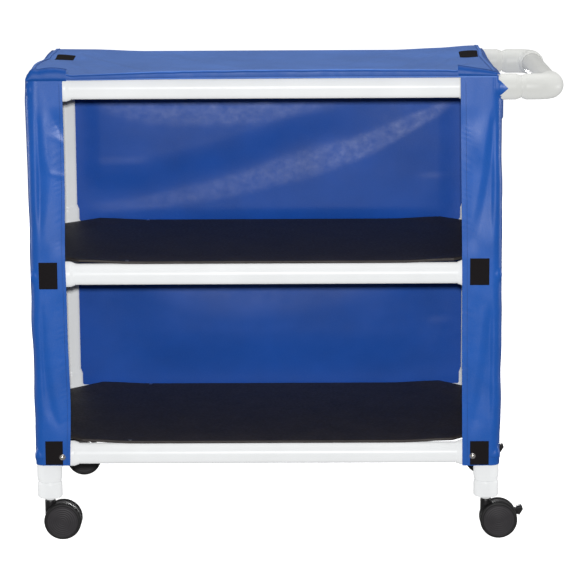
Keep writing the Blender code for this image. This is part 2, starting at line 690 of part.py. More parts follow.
def flap_mesh():
    """Front flap thrown back: seam and fold at the front, over the top, and down behind.

    Rows run along the cloth from the front seam to its free hem.
    """
    half = COVER_X + CLOTH_THICKNESS
    front = -(COVER_Y + CLOTH_THICKNESS + CLEARANCE)
    back = COVER_Y + CLOTH_THICKNESS + FLAP_AIR
    lift = CLOTH_THICKNESS + FLAP_AIR
    strip_edge = half - RIGHT_STRIP_WIDTH
    drop = FLAP_LENGTH - (back - front)
    rows = [("fold", s) for s in spread(0, 1, 4)]
    rows += [("top", s / 2) for s in spread(0, 1, 9)[1:3]] + [("top", s) for s in spread(0, 1, 9)[2:]]
    rows += [("bend", s) for s in spread(0, 1, 3)[1:]]
    rows += [("hang", s) for s in spread(0, 1, 5)[1:]]

    def hump(x, y):
        corner = ease((abs(x) - strip_edge) / RIGHT_STRIP_WIDTH + 0.5)
        far = (y - front - FLAP_FOLD_DEPTH) / FLAP_HUMP_REACH
        return FLAP_HUMP * corner * math.exp(-far * far)

    def ruck(x, y):
        right = ease(x / half)
        return FLAP_RUCK * right * ease((y - front) / (back - front))

    def surface(x, y):
        near = (y - front - FLAP_FOLD_DEPTH) / FLAP_FOLD_REACH
        return top_level(x, y) + lift + hump(x, y) + ruck(x, y) + FLAP_FOLD_RISE * math.exp(-near * near)

    def spot(x, row):
        part, share = row
        if part == "fold":
            angle = share * math.pi / 2
            y = front + FLAP_FOLD_DEPTH * (1 - math.cos(angle))
            top = surface(x, front + FLAP_FOLD_DEPTH)
            seam = top_level(x, front) + CLEARANCE
            return x, y, seam + (top - seam) * math.sin(angle)
        if part == "top":
            start = front + FLAP_FOLD_DEPTH
            y = start + (back - FLAP_REAR_RADIUS - start) * share
            return x, y, surface(x, y)
        if part == "bend":
            angle = share * math.pi / 2
            top = surface(x, back - FLAP_REAR_RADIUS)
            return (x, back - FLAP_REAR_RADIUS + FLAP_REAR_RADIUS * math.sin(angle),
                    top - FLAP_REAR_RADIUS * (1 - math.cos(angle)))
        top = surface(x, back - FLAP_REAR_RADIUS) - FLAP_REAR_RADIUS
        wave = FLAP_WAVE * share * math.sin(math.pi * FLAP_WAVE_COUNT * (x / half + 1) / 2) ** 2
        return x, back + wave, top - (drop - FLAP_REAR_RADIUS) * share

    return sheet("front_flap", top_columns(), rows, spot)


def build_cover(root, cloth, lining):
    """The cloth cover: two wrapped sides, back, top and the flap."""
    panels = [("cover_left_side", side_panel_mesh(-1), cloth),
              ("cover_right_side", side_panel_mesh(1), cloth),
              ("cover_back", back_panel_mesh(), cloth),
              ("cover_top", top_panel_mesh(), cloth),
              ("cover_front_flap", flap_mesh(), lining)]
    made = {}
    for name, mesh, finish in panels:
        made[name] = place(name, mesh, finish, root)
        thicken(made[name], CLOTH_THICKNESS)
    hole_radius = FITTING_RADIUS + PIPE_HOLE_MARGIN
    for corner, y in (("front", -HALF_DEPTH), ("rear", HALF_DEPTH)):
        hole = rod(f"pipe_hole_{corner}", hole_radius, -OVERRUN, OVERRUN, PIPE_SIDES)
        hole.transform(Matrix.Rotation(math.pi / 2, 4, "Y"))
        for vert in hole.vertices:
            if vert.co.z > 0:
                vert.co.z += FITTING_RADIUS
        cutter = pattern(f"pipe_hole_{corner}", hole)
        cutter.parent = root
        cutter.location = (COVER_X, y, TOP_RAIL_HEIGHT)
        cut = made["cover_right_side"].modifiers.new(f"Pipe hole {corner}", "BOOLEAN")
        cut.operation = "DIFFERENCE"
        cut.object = cutter


def centre_on_floor(root):
    """Slides the whole cart so that the origin is under the middle of its outer box."""
    bpy.context.view_layer.update()
    graph = bpy.context.evaluated_depsgraph_get()
    xs, ys = [], []
    for obj in PARTS.objects:
        if obj.type != "MESH":
            continue
        shown = obj.evaluated_get(graph)
        mesh = shown.to_mesh()
        for vert in mesh.vertices:
            spot = shown.matrix_world @ vert.co
            xs.append(spot.x)
            ys.append(spot.y)
        shown.to_mesh_clear()
    root.location = (-(min(xs) + max(xs)) / 2, -(min(ys) + max(ys)) / 2, 0)


def main():
    """Builds the whole cart."""
    pvc = material("white_pipe_plastic", (0.86, 0.87, 0.86), 0.35)
    black = material("black_moulded_plastic", (0.02, 0.02, 0.022), 0.5)
    rubber = material("charcoal_wheel_plastic", (0.03, 0.028, 0.03), 0.55)
    board = material("black_shelf_plastic", (0.012, 0.012, 0.018), 0.6)
    cloth = material("blue_coated_cloth", (0.04, 0.12, 0.42), 0.45)
    lining = material("blue_cloth_inner_side", (0.09, 0.18, 0.42), 0.6)
    root = empty("cart_frame", None, (0, 0, 0))
    build_frame(root, pvc)
    build_handle(root, pvc)
    build_casters(root, pvc, black, rubber)
    build_boards(root, board)
    build_cover(root, cloth, lining)
    centre_on_floor(root)
    bpy.context.view_layer.update()


clear_scene()
PARTS = collection("covered_shelf_cart")
CUTTERS = collection("cutters")
main()
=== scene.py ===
"""Covered shelf cart: smooth shapes, cloth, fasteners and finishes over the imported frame."""

import json
import math

import bmesh
import bpy
import numpy as np
from bpy.props import FloatProperty, FloatVectorProperty, IntProperty, PointerProperty
from mathutils import Matrix, Vector

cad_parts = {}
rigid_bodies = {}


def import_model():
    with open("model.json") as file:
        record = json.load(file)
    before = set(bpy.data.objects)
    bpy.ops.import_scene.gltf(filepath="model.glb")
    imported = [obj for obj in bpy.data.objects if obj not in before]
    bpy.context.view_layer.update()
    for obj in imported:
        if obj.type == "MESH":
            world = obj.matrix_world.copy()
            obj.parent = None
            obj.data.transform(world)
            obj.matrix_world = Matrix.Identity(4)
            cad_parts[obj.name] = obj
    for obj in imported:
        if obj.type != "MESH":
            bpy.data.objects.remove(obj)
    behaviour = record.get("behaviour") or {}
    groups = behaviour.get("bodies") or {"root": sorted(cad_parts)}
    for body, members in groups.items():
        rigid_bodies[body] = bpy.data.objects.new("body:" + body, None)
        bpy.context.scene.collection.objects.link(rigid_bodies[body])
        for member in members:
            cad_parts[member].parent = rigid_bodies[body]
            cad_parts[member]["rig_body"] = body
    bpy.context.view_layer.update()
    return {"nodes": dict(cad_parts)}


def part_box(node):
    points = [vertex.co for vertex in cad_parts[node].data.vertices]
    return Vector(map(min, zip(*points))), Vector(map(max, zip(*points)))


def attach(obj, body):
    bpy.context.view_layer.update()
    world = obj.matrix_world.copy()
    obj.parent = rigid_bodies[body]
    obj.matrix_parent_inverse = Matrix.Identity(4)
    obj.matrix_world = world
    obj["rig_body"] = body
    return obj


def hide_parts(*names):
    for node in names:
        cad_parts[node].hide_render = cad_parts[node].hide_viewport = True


bl_info = {
    "name": "Covered shelf cart",
    "version": (1, 0, 0),
    "blender": (4, 5, 0),
    "location": "3D View > Sidebar > Cart",
    "description": "Dresses the packed frame of a covered shelf cart",
    "category": "Object",
}

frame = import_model()

# Small sizes

CLOTH = 0.0012
GAP = 0.0003
SOCKET_DEPTH = 0.032
TRAIL = 0.0255
PEDAL_PIN = (0.008, 0.010)
SHELF_SCREWS = (("front", -0.3366), ("front", 0.2885), ("rear", -0.3255), ("rear", 0.2885))

# Places read from the frame


def middle(node):
    """Middle of a CAD node's box."""
    low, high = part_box(node)
    return (low + high) / 2


LEFT = middle("front_left_upper_post").x
RIGHT = middle("front_right_upper_post").x
FRONT = middle("front_left_upper_post").y
REAR = middle("rear_left_upper_post").y
LEVELS = {name: middle(f"{name}_front_rail").z for name in ("bottom", "middle", "top")}
TOP = LEVELS["top"]
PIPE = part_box("top_front_rail")[1].z - TOP
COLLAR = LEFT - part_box("middle_front_left_fitting")[0].x
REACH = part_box("middle_front_left_fitting")[1].x - LEFT
LEG_REACH = LEVELS["bottom"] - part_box("bottom_front_left_fitting")[0].z
SEAT = REACH - SOCKET_DEPTH
HANDLE = middle("handle_bar").x
WHEEL = (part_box("front_left_near_wheel")[1].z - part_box("front_left_near_wheel")[0].z) / 2
WEB_EDGE = WHEEL - 0.003
COVER = COLLAR + GAP
DRAW = COLLAR - PIPE - GAP
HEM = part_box("cover_left_side")[0].z
CORNERS = {"front_left": (LEFT, FRONT), "front_right": (RIGHT, FRONT),
           "rear_left": (LEFT, REAR), "rear_right": (RIGHT, REAR)}
AXES = {f"{sign}{axis}": tuple(way * (axis == other) for other in "xyz")
        for axis in "xyz" for sign, way in (("+", 1), ("-", -1))}


# Settings


class CartPipeSettings(bpy.types.PropertyGroup):
    """Sizes and colours of the white frame."""
    sides: IntProperty(name="Pipe sides", description="Faces round a pipe or collar", default=64,
                       min=16, max=128)
    wall: FloatProperty(name="Pipe wall", description="Wall of the furniture pipe", default=0.0036,
                        unit="LENGTH", subtype="DISTANCE")
    lip: FloatProperty(name="Lip length", description="Length over which a collar tapers at its mouth",
                       default=0.010, unit="LENGTH", subtype="DISTANCE")
    lip_drop: FloatProperty(name="Lip drop", description="How far a collar narrows at its mouth",
                            default=0.0027, unit="LENGTH", subtype="DISTANCE")
    fillet: FloatProperty(name="Fillet", description="Soft radius where two arms of a fitting meet",
                          default=0.0045, unit="LENGTH", subtype="DISTANCE")
    colour: FloatVectorProperty(name="Pipe colour", description="White of the rails, posts and fittings",
                                default=(0.76, 0.77, 0.775), subtype="COLOR", min=0, max=1)
    handle_colour: FloatVectorProperty(name="Handle colour", description="Warmer white of the handle",
                                       default=(0.605, 0.610, 0.590), subtype="COLOR", min=0, max=1)


class CartClothSettings(bpy.types.PropertyGroup):
    """Colours and small sizes of the cloth cover."""
    outer: FloatVectorProperty(name="Outer colour", description="Blue of the coated side",
                               default=(0.0080, 0.084, 0.375), subtype="COLOR", min=0, max=1)
    # The inner colour is the backing's own greyer blue, made lighter as a painted sheen for the flap's top at
    # a grazing angle
    inner: FloatVectorProperty(name="Inner colour", description="Greyer blue of the backing",
                               default=(0.064, 0.148, 0.425), subtype="COLOR", min=0, max=1)
    weave: FloatProperty(name="Weave pitch", description="Spacing of the backing yarns", default=0.0011,
                         unit="LENGTH", subtype="DISTANCE")
    corner: FloatProperty(name="Corner radius", description="Radius of the cover round a post", default=0.018,
                          unit="LENGTH", subtype="DISTANCE")
    sag: FloatProperty(name="Top sag", description="How far the top hangs in its middle", default=0.006,
                       unit="LENGTH", subtype="DISTANCE")
    length: FloatProperty(name="Flap length", description="Cut length of the front flap", default=0.790,
                          unit="LENGTH", subtype="DISTANCE")
    thread: FloatProperty(name="Thread", description="Thickness of the sewing thread", default=0.0010,
                          unit="LENGTH", subtype="DISTANCE")
    tape: FloatVectorProperty(name="Tape colour", description="Colour of the hook and loop patches",
                              default=(0.0075, 0.0062, 0.0068), subtype="COLOR", min=0, max=1)


class CartBoardSettings(bpy.types.PropertyGroup):
    """The two shelves."""
    colour: FloatVectorProperty(name="Board colour", description="Near black of the shelves",
                                default=(0.0350, 0.0300, 0.0285), subtype="COLOR", min=0, max=1)
    clip: FloatProperty(name="Corner clip", description="Length cut off each board corner", default=0.076,
                        unit="LENGTH", subtype="DISTANCE")
    thickness: FloatProperty(name="Board thickness", description="Thickness of a shelf", default=0.005,
                             unit="LENGTH", subtype="DISTANCE")


class CartCasterSettings(bpy.types.PropertyGroup):
    """The twin wheel casters."""
    body: FloatVectorProperty(name="Body colour", description="Black of the caster bodies and pedals",
                              default=(0.0070, 0.0064, 0.0070), subtype="COLOR", min=0, max=1)
    wheel: FloatVectorProperty(name="Wheel colour", description="Charcoal of the wheel faces",
                               default=(0.018, 0.016, 0.0185), subtype="COLOR", min=0, max=1)
    edge: FloatProperty(name="Tread radius", description="Rounding of the tread", default=0.0042,
                        unit="LENGTH", subtype="DISTANCE")


class CartStageSettings(bpy.types.PropertyGroup):
    """Floor, light and camera."""
    floor: FloatVectorProperty(name="Floor colour", description="Pale floor", default=(0.93, 0.93, 0.93),
                               subtype="COLOR", min=0, max=1)
    lens: FloatProperty(name="Lens", description="Focal length on a 36 mm frame, in millimetres",
                        default=153.74)
    flash: FloatProperty(name="Flash", description="Power of the light beside the camera", default=223.0,
                         unit="POWER")
    fill: FloatProperty(name="Fill", description="Strength of the pale surroundings", default=0.25)


# Meshes


def grid_faces(rows, columns, loop=False):
    """Four point faces between the neighbours of a rows by columns grid; the columns may close up."""
    row, column = np.meshgrid(np.arange(rows - 1), np.arange(columns if loop else columns - 1), indexing="ij")
    right = (column + 1) % columns
    corners = [row * columns + column, row * columns + right, (row + 1) * columns + right,
               (row + 1) * columns + column]
    return np.stack(corners, axis=-1).reshape(-1, 4)


def joined(parts):
    """Several (points, faces) lists as one."""
    points, faces, start = [], [], 0
    for spots, quads in parts:
        spots = np.asarray(spots, float).reshape(-1, 3)
        points.append(spots)
        faces.append(np.asarray(quads) + start)
        start += len(spots)
    return np.concatenate(points), np.concatenate(faces)


def put(name, points, faces, looks, body, slot, uv=None, weld=True, sharp=40, inside=None):
    """A piece from points and faces, smooth but for its real edges, riding on a body.

    Looks names one finish, or two with a number for each face in inside. Points on the same spot
    are merged and a closed shape is turned outwards, unless weld is off.
    """
    mesh = bpy.data.meshes.new(name)
    mesh.from_pydata(np.asarray(points, float).reshape(-1, 3).tolist(), [], np.asarray(faces).tolist())
    for look in (looks,) if isinstance(looks, str) else looks:
        mesh.materials.append(finish(look))
    if inside is not None:
        mesh.polygons.foreach_set("material_index", np.asarray(inside, np.int32))
    if uv is not None:
        layer = mesh.uv_layers.new(name="Cloth")
        corner = np.empty(len(mesh.loops), np.int32)
        mesh.loops.foreach_get("vertex_index", corner)
        layer.data.foreach_set("uv", np.asarray(uv, float).reshape(-1, 2)[corner].ravel())
    if weld:
        form = bmesh.new()
        form.from_mesh(mesh)
        bmesh.ops.remove_doubles(form, verts=form.verts, dist=2e-6)
        bmesh.ops.dissolve_degenerate(form, dist=1e-6, edges=form.edges)
        bmesh.ops.recalc_face_normals(form, faces=form.faces)
        form.to_mesh(mesh)
        form.free()
    mesh.validate()
    mesh.shade_smooth()
    mesh.set_sharp_from_angle(angle=math.radians(sharp))
    piece = bpy.data.objects.new(name, mesh)
    bpy.context.scene.collection.objects.link(piece)
    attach(piece, body)
    return piece


def body_of_node(node):
    """Name of the body that a CAD node rides on."""
    return frame["nodes"][node]["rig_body"]


def stand_in(node, form, points, faces, looks, slot, **options):
    """A piece shown in place of a CAD node, riding on the node's body."""
    piece = put(f"{node}_{form}", points, faces, looks, body_of_node(node), slot, **options)
    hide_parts(node)


def cross_axes(direction):
    """Two unit vectors square to a direction, cyclic, so that grids line up between arms."""
    direction = np.asarray(direction, float)
    order = int(np.argmax(np.abs(direction)))
    first, second = np.eye(3)[(order + 1) % 3], np.eye(3)[(order + 2) % 3]
    return first, second


def ring_about(first, second, sides):
    """Steps of length one round a circle in the plane of two axes, one for each side."""
    angle = np.linspace(0, 2 * math.pi, sides, endpoint=False)[:, None]
    return np.cos(angle) * first + np.sin(angle) * second


def turned(profile, origin, direction, sides):
    """Turned surface: each (radius, distance) of the profile makes a ring round the direction."""
    profile = np.asarray(profile, float)
    direction = np.asarray(direction, float) / np.linalg.norm(direction)
    helper = np.array([0.0, 0.0, 1.0]) if abs(direction[2]) < 0.9 else np.array([1.0, 0.0, 0.0])
    first = np.cross(helper, direction)
    first /= np.linalg.norm(first)
    ring = ring_about(first, np.cross(direction, first), sides)
    points = np.asarray(origin, float) + profile[:, 1, None, None] * direction \
        + profile[:, 0, None, None] * ring
    return points.reshape(-1, 3), grid_faces(len(profile), sides, loop=True)


def bow(centre, radius, start, stop, steps):
    """Points of an arc, angles in degrees, as (across, along) pairs."""
    angle = np.radians(np.linspace(start, stop, steps + 1))
    return np.stack([centre[0] + radius * np.cos(angle), centre[1] + radius * np.sin(angle)], axis=-1)


def ease(share):
    """A smooth step from 0 to 1."""
    share = np.clip(share, 0, 1)
    return share * share * (3 - 2 * share)


def unit(vectors):
    """Vectors brought to length one."""
    return vectors / np.maximum(np.linalg.norm(vectors, axis=-1, keepdims=True), 1e-12)


def slopes(grid):
    """Outward normals of a grid: the cross product of its two directions."""
    return unit(np.cross(np.gradient(grid, axis=1), np.gradient(grid, axis=0)))


def facing(normals, way):
    """Normals turned to the side that a direction points to."""
    return np.where(np.sum(normals * np.array(way, float), axis=-1, keepdims=True) < 0, -normals, normals)


def shell(grid, thickness, uv=None, keep=None, flip=False):
    """Closed sheet: a grid, the same grid moved along its normals, and a rim between them.

    The thickness may be one value or one for each point. Faces outside the keep mask are left
    out, and the rim follows whatever edge is left. Returns points, faces, uv and a side number
    for each face: 0 outside and at the rim, 1 inside.
    """
    rows, columns = grid.shape[:2]
    normal = slopes(grid) * (-1 if flip else 1)
    thick = np.broadcast_to(np.asarray(thickness, float), (rows, columns))[..., None]
    outer = (grid + normal * thick).reshape(-1, 3)
    inner = grid.reshape(-1, 3)
    quads = grid_faces(rows, columns)
    if keep is not None:
        quads = quads[keep.reshape(-1)]
    if not flip:
        quads = quads[:, ::-1]
    count = rows * columns
    edges = np.stack([quads, np.roll(quads, -1, axis=1)], axis=-1).reshape(-1, 2)
    key = edges[:, 0] * count + edges[:, 1]
    back = edges[:, 1] * count + edges[:, 0]
    rim = edges[~np.isin(key, back)]
    walls = np.stack([rim[:, 1], rim[:, 0], rim[:, 0] + count, rim[:, 1] + count], axis=-1)
    faces = np.concatenate([quads, quads[:, ::-1] + count, walls])
    side = np.concatenate([np.zeros(len(quads)), np.ones(len(quads)), np.zeros(len(walls))]).astype(int)
    both = None if uv is None else np.concatenate([uv.reshape(-1, 2), uv.reshape(-1, 2)])
    return np.concatenate([outer, inner]), faces, both, side


def cloth_piece(name, grid, looks=("outer", "inside"), thickness=CLOTH, uv=None, keep=None, flip=False):
    """A sheet of cloth on the frame with an outer and an inner finish, made by shell()."""
    points, faces, both, side = shell(grid, thickness, cloth_uv(grid) if uv is None else uv, keep, flip)
    used = np.unique(faces)
    place = np.full(len(points), -1)
    place[used] = np.arange(len(used))
    return put(name, points[used], place[faces], looks, "frame", "blue_coated_cloth", uv=both[used],
               weld=False, sharp=70, inside=side)


def along(grid, axis):
    """Running length along one direction of a grid."""
    step = np.linalg.norm(np.diff(grid, axis=axis), axis=-1)
    start = np.zeros_like(np.take(step, [0], axis=axis))
    return np.cumsum(np.concatenate([start, step], axis=axis), axis=axis)


def cloth_uv(grid):
    """Cloth coordinates in metres: running length across and down the sheet."""
    return np.stack([along(grid, 1), along(grid, 0)], axis=-1)


# Finishes


def add(tree, kind, settings=None, **inputs):
    """A shader node with its settings and inputs; an input may be a value or another socket."""
    node = tree.nodes.new(kind)
    for name, value in (settings or {}).items():
        setattr(node, name, value)
    for name, value in inputs.items():
        socket = node.inputs[int(name[1:])] if name[0] == "i" and name[1:].isdigit() else \
            node.inputs[name.replace("_", " ")]
        if isinstance(value, bpy.types.NodeSocket):
            tree.links.new(value, socket)
        else:
            socket.default_value = value
    return node


def finish_start(name, roughness, metallic=0.0, specular=0.5):
    """A new material with its tree and shader; flat values are set on the shader's own sockets."""
    made = bpy.data.materials.new(name)
    made.use_nodes = True
    shader = made.node_tree.nodes["Principled BSDF"]
    shader.inputs["Roughness"].default_value = roughness
    shader.inputs["Metallic"].default_value = metallic
    shader.inputs["Specular IOR Level"].default_value = specular
    return made, made.node_tree, shader


def lead(shader, name, value):
    """Lead a value into one of the shader's inputs."""
    shader.id_data.links.new(value, shader.inputs[name])


def ramp(tree, factor, stops):
    """A colour ramp node from (position, colour) stops."""
    node = add(tree, "ShaderNodeValToRGB", Fac=factor)
    elements = node.color_ramp.elements
    while len(elements) < len(stops):
        elements.new(0.5)
    for element, (position, colour) in zip(elements, stops):
        element.position = position
        element.color = (*colour, 1.0) if len(colour) == 3 else (colour[0],) * 3 + (1.0,)
    return node.outputs["Color"]


def span(tree, value, low, high, start=0.0, stop=1.0):
    """A value mapped from one range to another."""
    return add(tree, "ShaderNodeMapRange", i0=value, i1=start, i2=stop, i3=low, i4=high).outputs[0]


def scaled(colour, factor):
    """A colour made lighter or darker."""
    return tuple(min(1.0, channel * factor) for channel in colour)


def mixed(tree, factor, first, second):
    """Two colours mixed by a factor."""
    node = add(tree, "ShaderNodeMix", {"data_type": "RGBA", "blend_type": "MIX"})
    for socket, value in ((node.inputs[0], factor), (node.inputs[6], first), (node.inputs[7], second)):
        if isinstance(value, bpy.types.NodeSocket):
            tree.links.new(value, socket)
        else:
            socket.default_value = (*value, 1.0) if hasattr(value, "__len__") and len(value) == 3 else value
    return node.outputs[2]


def maths(tree, operation, first, second=0.0):
    """One step of arithmetic on values."""
    return add(tree, "ShaderNodeMath", {"operation": operation}, i0=first, i1=second).outputs[0]


def noise(tree, spot, scale, detail, roughness=0.5):
    """A cloudy value that changes from place to place."""
    return add(tree, "ShaderNodeTexNoise", Vector=spot, Scale=scale, Detail=detail,
               Roughness=roughness).outputs[0]


def own_place(tree):
    """The piece's own coordinates."""
    return add(tree, "ShaderNodeTexCoord").outputs["Object"]


def cloth_place(tree):
    """The running lengths across and down a cloth."""
    return add(tree, "ShaderNodeUVMap", {"uv_map": "Cloth"}).outputs["UV"]


def bumped(tree, shader, height, strength, distance):
    """Fine relief from a height value."""
    node = add(tree, "ShaderNodeBump", Height=height, Strength=strength, Distance=distance)
    lead(shader, "Normal", node.outputs["Normal"])


def pipe_plastic(name, colour, roughness=0.30):
    """Extruded white plastic: faint mottling, rub marks and a fine skin."""
    made, tree, shader = finish_start(name, roughness, specular=0.18)
    shader.inputs["Diffuse Roughness"].default_value = 0.8
    spot = own_place(tree)
    broad = noise(tree, spot, 14.0, 3.0)
    rub = noise(tree, spot, 90.0, 6.0, 0.7)
    fine = noise(tree, spot, 1400.0, 2.0)
    base = ramp(tree, broad, [(0.3, scaled(colour, 0.965)), (0.7, colour)])
    marks = ramp(tree, rub, [(0.62, (0.0,)), (0.78, (1.0,))])
    lead(shader, "Base Color", mixed(tree, maths(tree, "MULTIPLY", marks, 0.10), base, scaled(colour, 0.72)))
    lead(shader, "Roughness", span(tree, rub, roughness - 0.05, roughness + 0.12, 0.3, 0.8))
    bumped(tree, shader, maths(tree, "ADD", fine, maths(tree, "MULTIPLY", rub, 0.6)), 0.06, 0.0002)
    return made


def moulded_plastic(name, colour, roughness, grain=900.0, relief=0.25, specular=0.32):
    """Moulded plastic with a fine grain and worn lighter spots."""
    made, tree, shader = finish_start(name, roughness, specular=specular)
    spot = own_place(tree)
    cells = add(tree, "ShaderNodeTexVoronoi", Vector=spot, Scale=grain).outputs["Distance"]
    broad = noise(tree, spot, 22.0, 5.0, 0.6)
    wear = noise(tree, spot, 160.0, 4.0)
    base = ramp(tree, broad, [(0.3, scaled(colour, 0.82)), (0.7, scaled(colour, 1.2))])
    worn = ramp(tree, wear, [(0.6, (0.0,)), (0.8, (1.0,))])
    lead(shader, "Base Color", mixed(tree, maths(tree, "MULTIPLY", worn, 0.22), base, scaled(colour, 2.1)))
    lead(shader, "Roughness", span(tree, wear, roughness - 0.08, roughness + 0.10, 0.3, 0.8))
    bumped(tree, shader, maths(tree, "ADD", cells, maths(tree, "MULTIPLY", wear, 0.4)), relief, 0.0003)
    return made


def weave_height(tree, spot, pitch):
    """Plain weave: yarns across and down as two waves at right angles, over and under by turns."""
    parts = add(tree, "ShaderNodeSeparateXYZ", Vector=spot)
    phases = (maths(tree, "MULTIPLY", socket, math.pi / pitch) for socket in parts.outputs[:2])
    across, down = (maths(tree, "ABSOLUTE", maths(tree, "SINE", phase)) for phase in phases)
    return maths(tree, "MAXIMUM", across, down)


def coated_cloth(name, colour, pitch, glaze, roughness=0.36, specular=0.26):
    """Coated cloth: the weave shows faintly through the film, with broad and fine colour change."""
    made, tree, shader = finish_start(name, roughness, specular=specular)
    spot = cloth_place(tree)
    height = weave_height(tree, spot, pitch)
    broad = noise(tree, spot, 7.0, 4.0, 0.55)
    grain = noise(tree, spot, 330.0, 4.0, 0.7)
    rub = noise(tree, spot, 45.0, 6.0, 0.65)
    base = ramp(tree, broad, [(0.3, scaled(colour, 0.86)), (0.72, scaled(colour, 1.12))])
    film = mixed(tree, span(tree, grain, 0.0, 0.34, 0.44, 0.74), base, glaze)
    yarn = mixed(tree, maths(tree, "MULTIPLY", height, 0.16), film, scaled(colour, 0.55))
    lead(shader, "Base Color", yarn)
    lead(shader, "Roughness", span(tree, rub, roughness - 0.07, roughness + 0.10, 0.3, 0.8))
    relief = maths(tree, "ADD", maths(tree, "MULTIPLY", height, 0.5), maths(tree, "MULTIPLY", grain, 0.9))
    bumped(tree, shader, relief, 0.26, 0.00035)
    return made


def backing_cloth(name, colour, pitch):
    """Backing side: pale yarns over the blue film, duller and greyer."""
    made, tree, shader = finish_start(name, 0.62, specular=0.3)
    spot = cloth_place(tree)
    height = weave_height(tree, spot, pitch)
    broad = noise(tree, spot, 6.0, 4.0, 0.6)
    slub = add(tree, "ShaderNodeMapping", Vector=spot, Scale=(60.0, 420.0, 1.0))
    slub = noise(tree, slub.outputs[0], 1.0, 4.0)
    base = ramp(tree, broad, [(0.28, scaled(colour, 0.84)), (0.72, scaled(colour, 1.14))])
    yarn = mixed(tree, maths(tree, "MULTIPLY", height, 0.22), base, scaled(colour, 1.7))
    streak = mixed(tree, span(tree, slub, 0.0, 0.30, 0.45, 0.75), yarn, scaled(colour, 1.5))
    lead(shader, "Base Color", streak)
    lead(shader, "Roughness", span(tree, slub, 0.54, 0.70, 0.3, 0.8))
    bumped(tree, shader, maths(tree, "ADD", height, slub), 0.4, 0.00035)
    return made


def loop_tape(name, colour):
    """Hook and loop tape: tangled short pile in a woven edge."""
    made, tree, shader = finish_start(name, 0.9, specular=0.12)
    spot = own_place(tree)
    pile = noise(tree, spot, 1500.0, 4.0, 0.8)
    lint = noise(tree, spot, 260.0, 5.0, 0.7)
    base = ramp(tree, pile, [(0.35, scaled(colour, 0.6)), (0.7, scaled(colour, 1.9))])
    lead(shader, "Base Color", mixed(tree, span(tree, lint, 0.0, 0.25, 0.62, 0.8), base,
                                     (0.035, 0.031, 0.033)))
    bumped(tree, shader, pile, 0.9, 0.0006)
    return made


def bright_metal(name, colour, roughness):
    """Plated metal with a faint handling haze."""
    made, tree, shader = finish_start(name, roughness, metallic=1.0)
    spot = own_place(tree)
    haze = noise(tree, spot, 420.0, 4.0)
    lead(shader, "Base Color", ramp(tree, haze, [(0.3, scaled(colour, 0.85)), (0.7, colour)]))
    lead(shader, "Roughness", span(tree, haze, roughness * 0.7, roughness * 1.5, 0.3, 0.7))
    bumped(tree, shader, haze, 0.05, 0.0001)
    return made


def sewing_thread(name, colour):
    """Twisted thread with a soft shine."""
    made, tree, shader = finish_start(name, 0.5)
    spot = own_place(tree)
    twist = noise(tree, spot, 2600.0, 2.0)
    lead(shader, "Base Color", ramp(tree, twist, [(0.3, scaled(colour, 0.6)), (0.7, scaled(colour, 1.3))]))
    bumped(tree, shader, twist, 0.4, 0.0002)
    return made


def pale_floor(name, colour):
    """Matt pale floor with a barely seen mottle."""
    made, tree, shader = finish_start(name, 0.9, specular=0.1)
    spot = own_place(tree)
    mottle = noise(tree, spot, 3.0, 3.0)
    pale = ramp(tree, mottle, [(0.3, scaled(colour, 0.985)), (0.7, colour)])
    lead(shader, "Base Color", pale)
    shader.inputs["Emission Color"].default_value = (1, 1, 1, 1)
    shader.inputs["Emission Strength"].default_value = 0.9
    return made


FINISHES = {}


def finish(name):
    """A finish made once, from the settings, and then shared."""
    if name not in FINISHES:
        scene = bpy.context.scene
        pipes, cloths, boards = scene.cart_pipes, scene.cart_cloths, scene.cart_boards
        casters, stage = scene.cart_casters, scene.cart_stage
        blue, backing = tuple(cloths.outer), tuple(cloths.inner)
        makers = {
            "pipe": lambda: pipe_plastic("white_pipe", tuple(pipes.colour)),
            "handle": lambda: pipe_plastic("handle_plastic", tuple(pipes.handle_colour), 0.38),
            # The bar finish is the handle plastic darkened by 0.84: painted shade from the grazing light
            # along the bar
            "bar": lambda: pipe_plastic("bar_plastic_painted_shade", scaled(tuple(pipes.handle_colour), 0.84), 0.38),
            "caster": lambda: moulded_plastic("caster_black", tuple(casters.body), 0.42),
            "wheel": lambda: moulded_plastic("wheel_charcoal", tuple(casters.wheel), 0.48, 1300.0, 0.15),
            "tread": lambda: moulded_plastic("tread_black", scaled(tuple(casters.body), 0.8), 0.6, 1500.0,
                                             0.2),
            "board": lambda: moulded_plastic("shelf_black", tuple(boards.colour), 0.60, 800.0, 0.30, 0.22),
            "outer": lambda: coated_cloth("blue_outer", blue, cloths.weave, (0.045, 0.125, 0.42)),
            # The fold finish is the outer blue darkened by 0.82, with a darker glaze: painted shade on the
            # corner folds and the header band
            "fold": lambda: coated_cloth("blue_fold_painted_shade", scaled(blue, 0.82), cloths.weave, (0.030, 0.095, 0.35),
                                         0.42, 0.16),
            # The lining finish is the backing's own tone, lightened by a painted sheen
            "lining": lambda: backing_cloth("blue_lining_tone_and_painted_sheen", backing, cloths.weave),
            "inside": lambda: coated_cloth("blue_inside", (0.0075, 0.067, 0.345), cloths.weave,
                                           (0.032, 0.100, 0.38), 0.40, 0.15),
            # The edge finish is the backing lightened by 1.06: a painted highlight on the flap's hems
            "edge": lambda: backing_cloth("hem_edge_painted_highlight", scaled(backing, 1.06), cloths.weave),
            "tape": lambda: loop_tape("loop_tape", tuple(cloths.tape)),
            "snap": lambda: bright_metal("snap_metal", (0.78, 0.74, 0.70), 0.16),
            "screw": lambda: bright_metal("screw_metal", (0.60, 0.60, 0.62), 0.3),
            "thread": lambda: sewing_thread("blue_thread", scaled(blue, 0.42)),
            "floor": lambda: pale_floor("pale_floor", tuple(stage.floor)),
        }
        FINISHES[name] = makers[name]()
    return FINISHES[name]


# Frame pieces


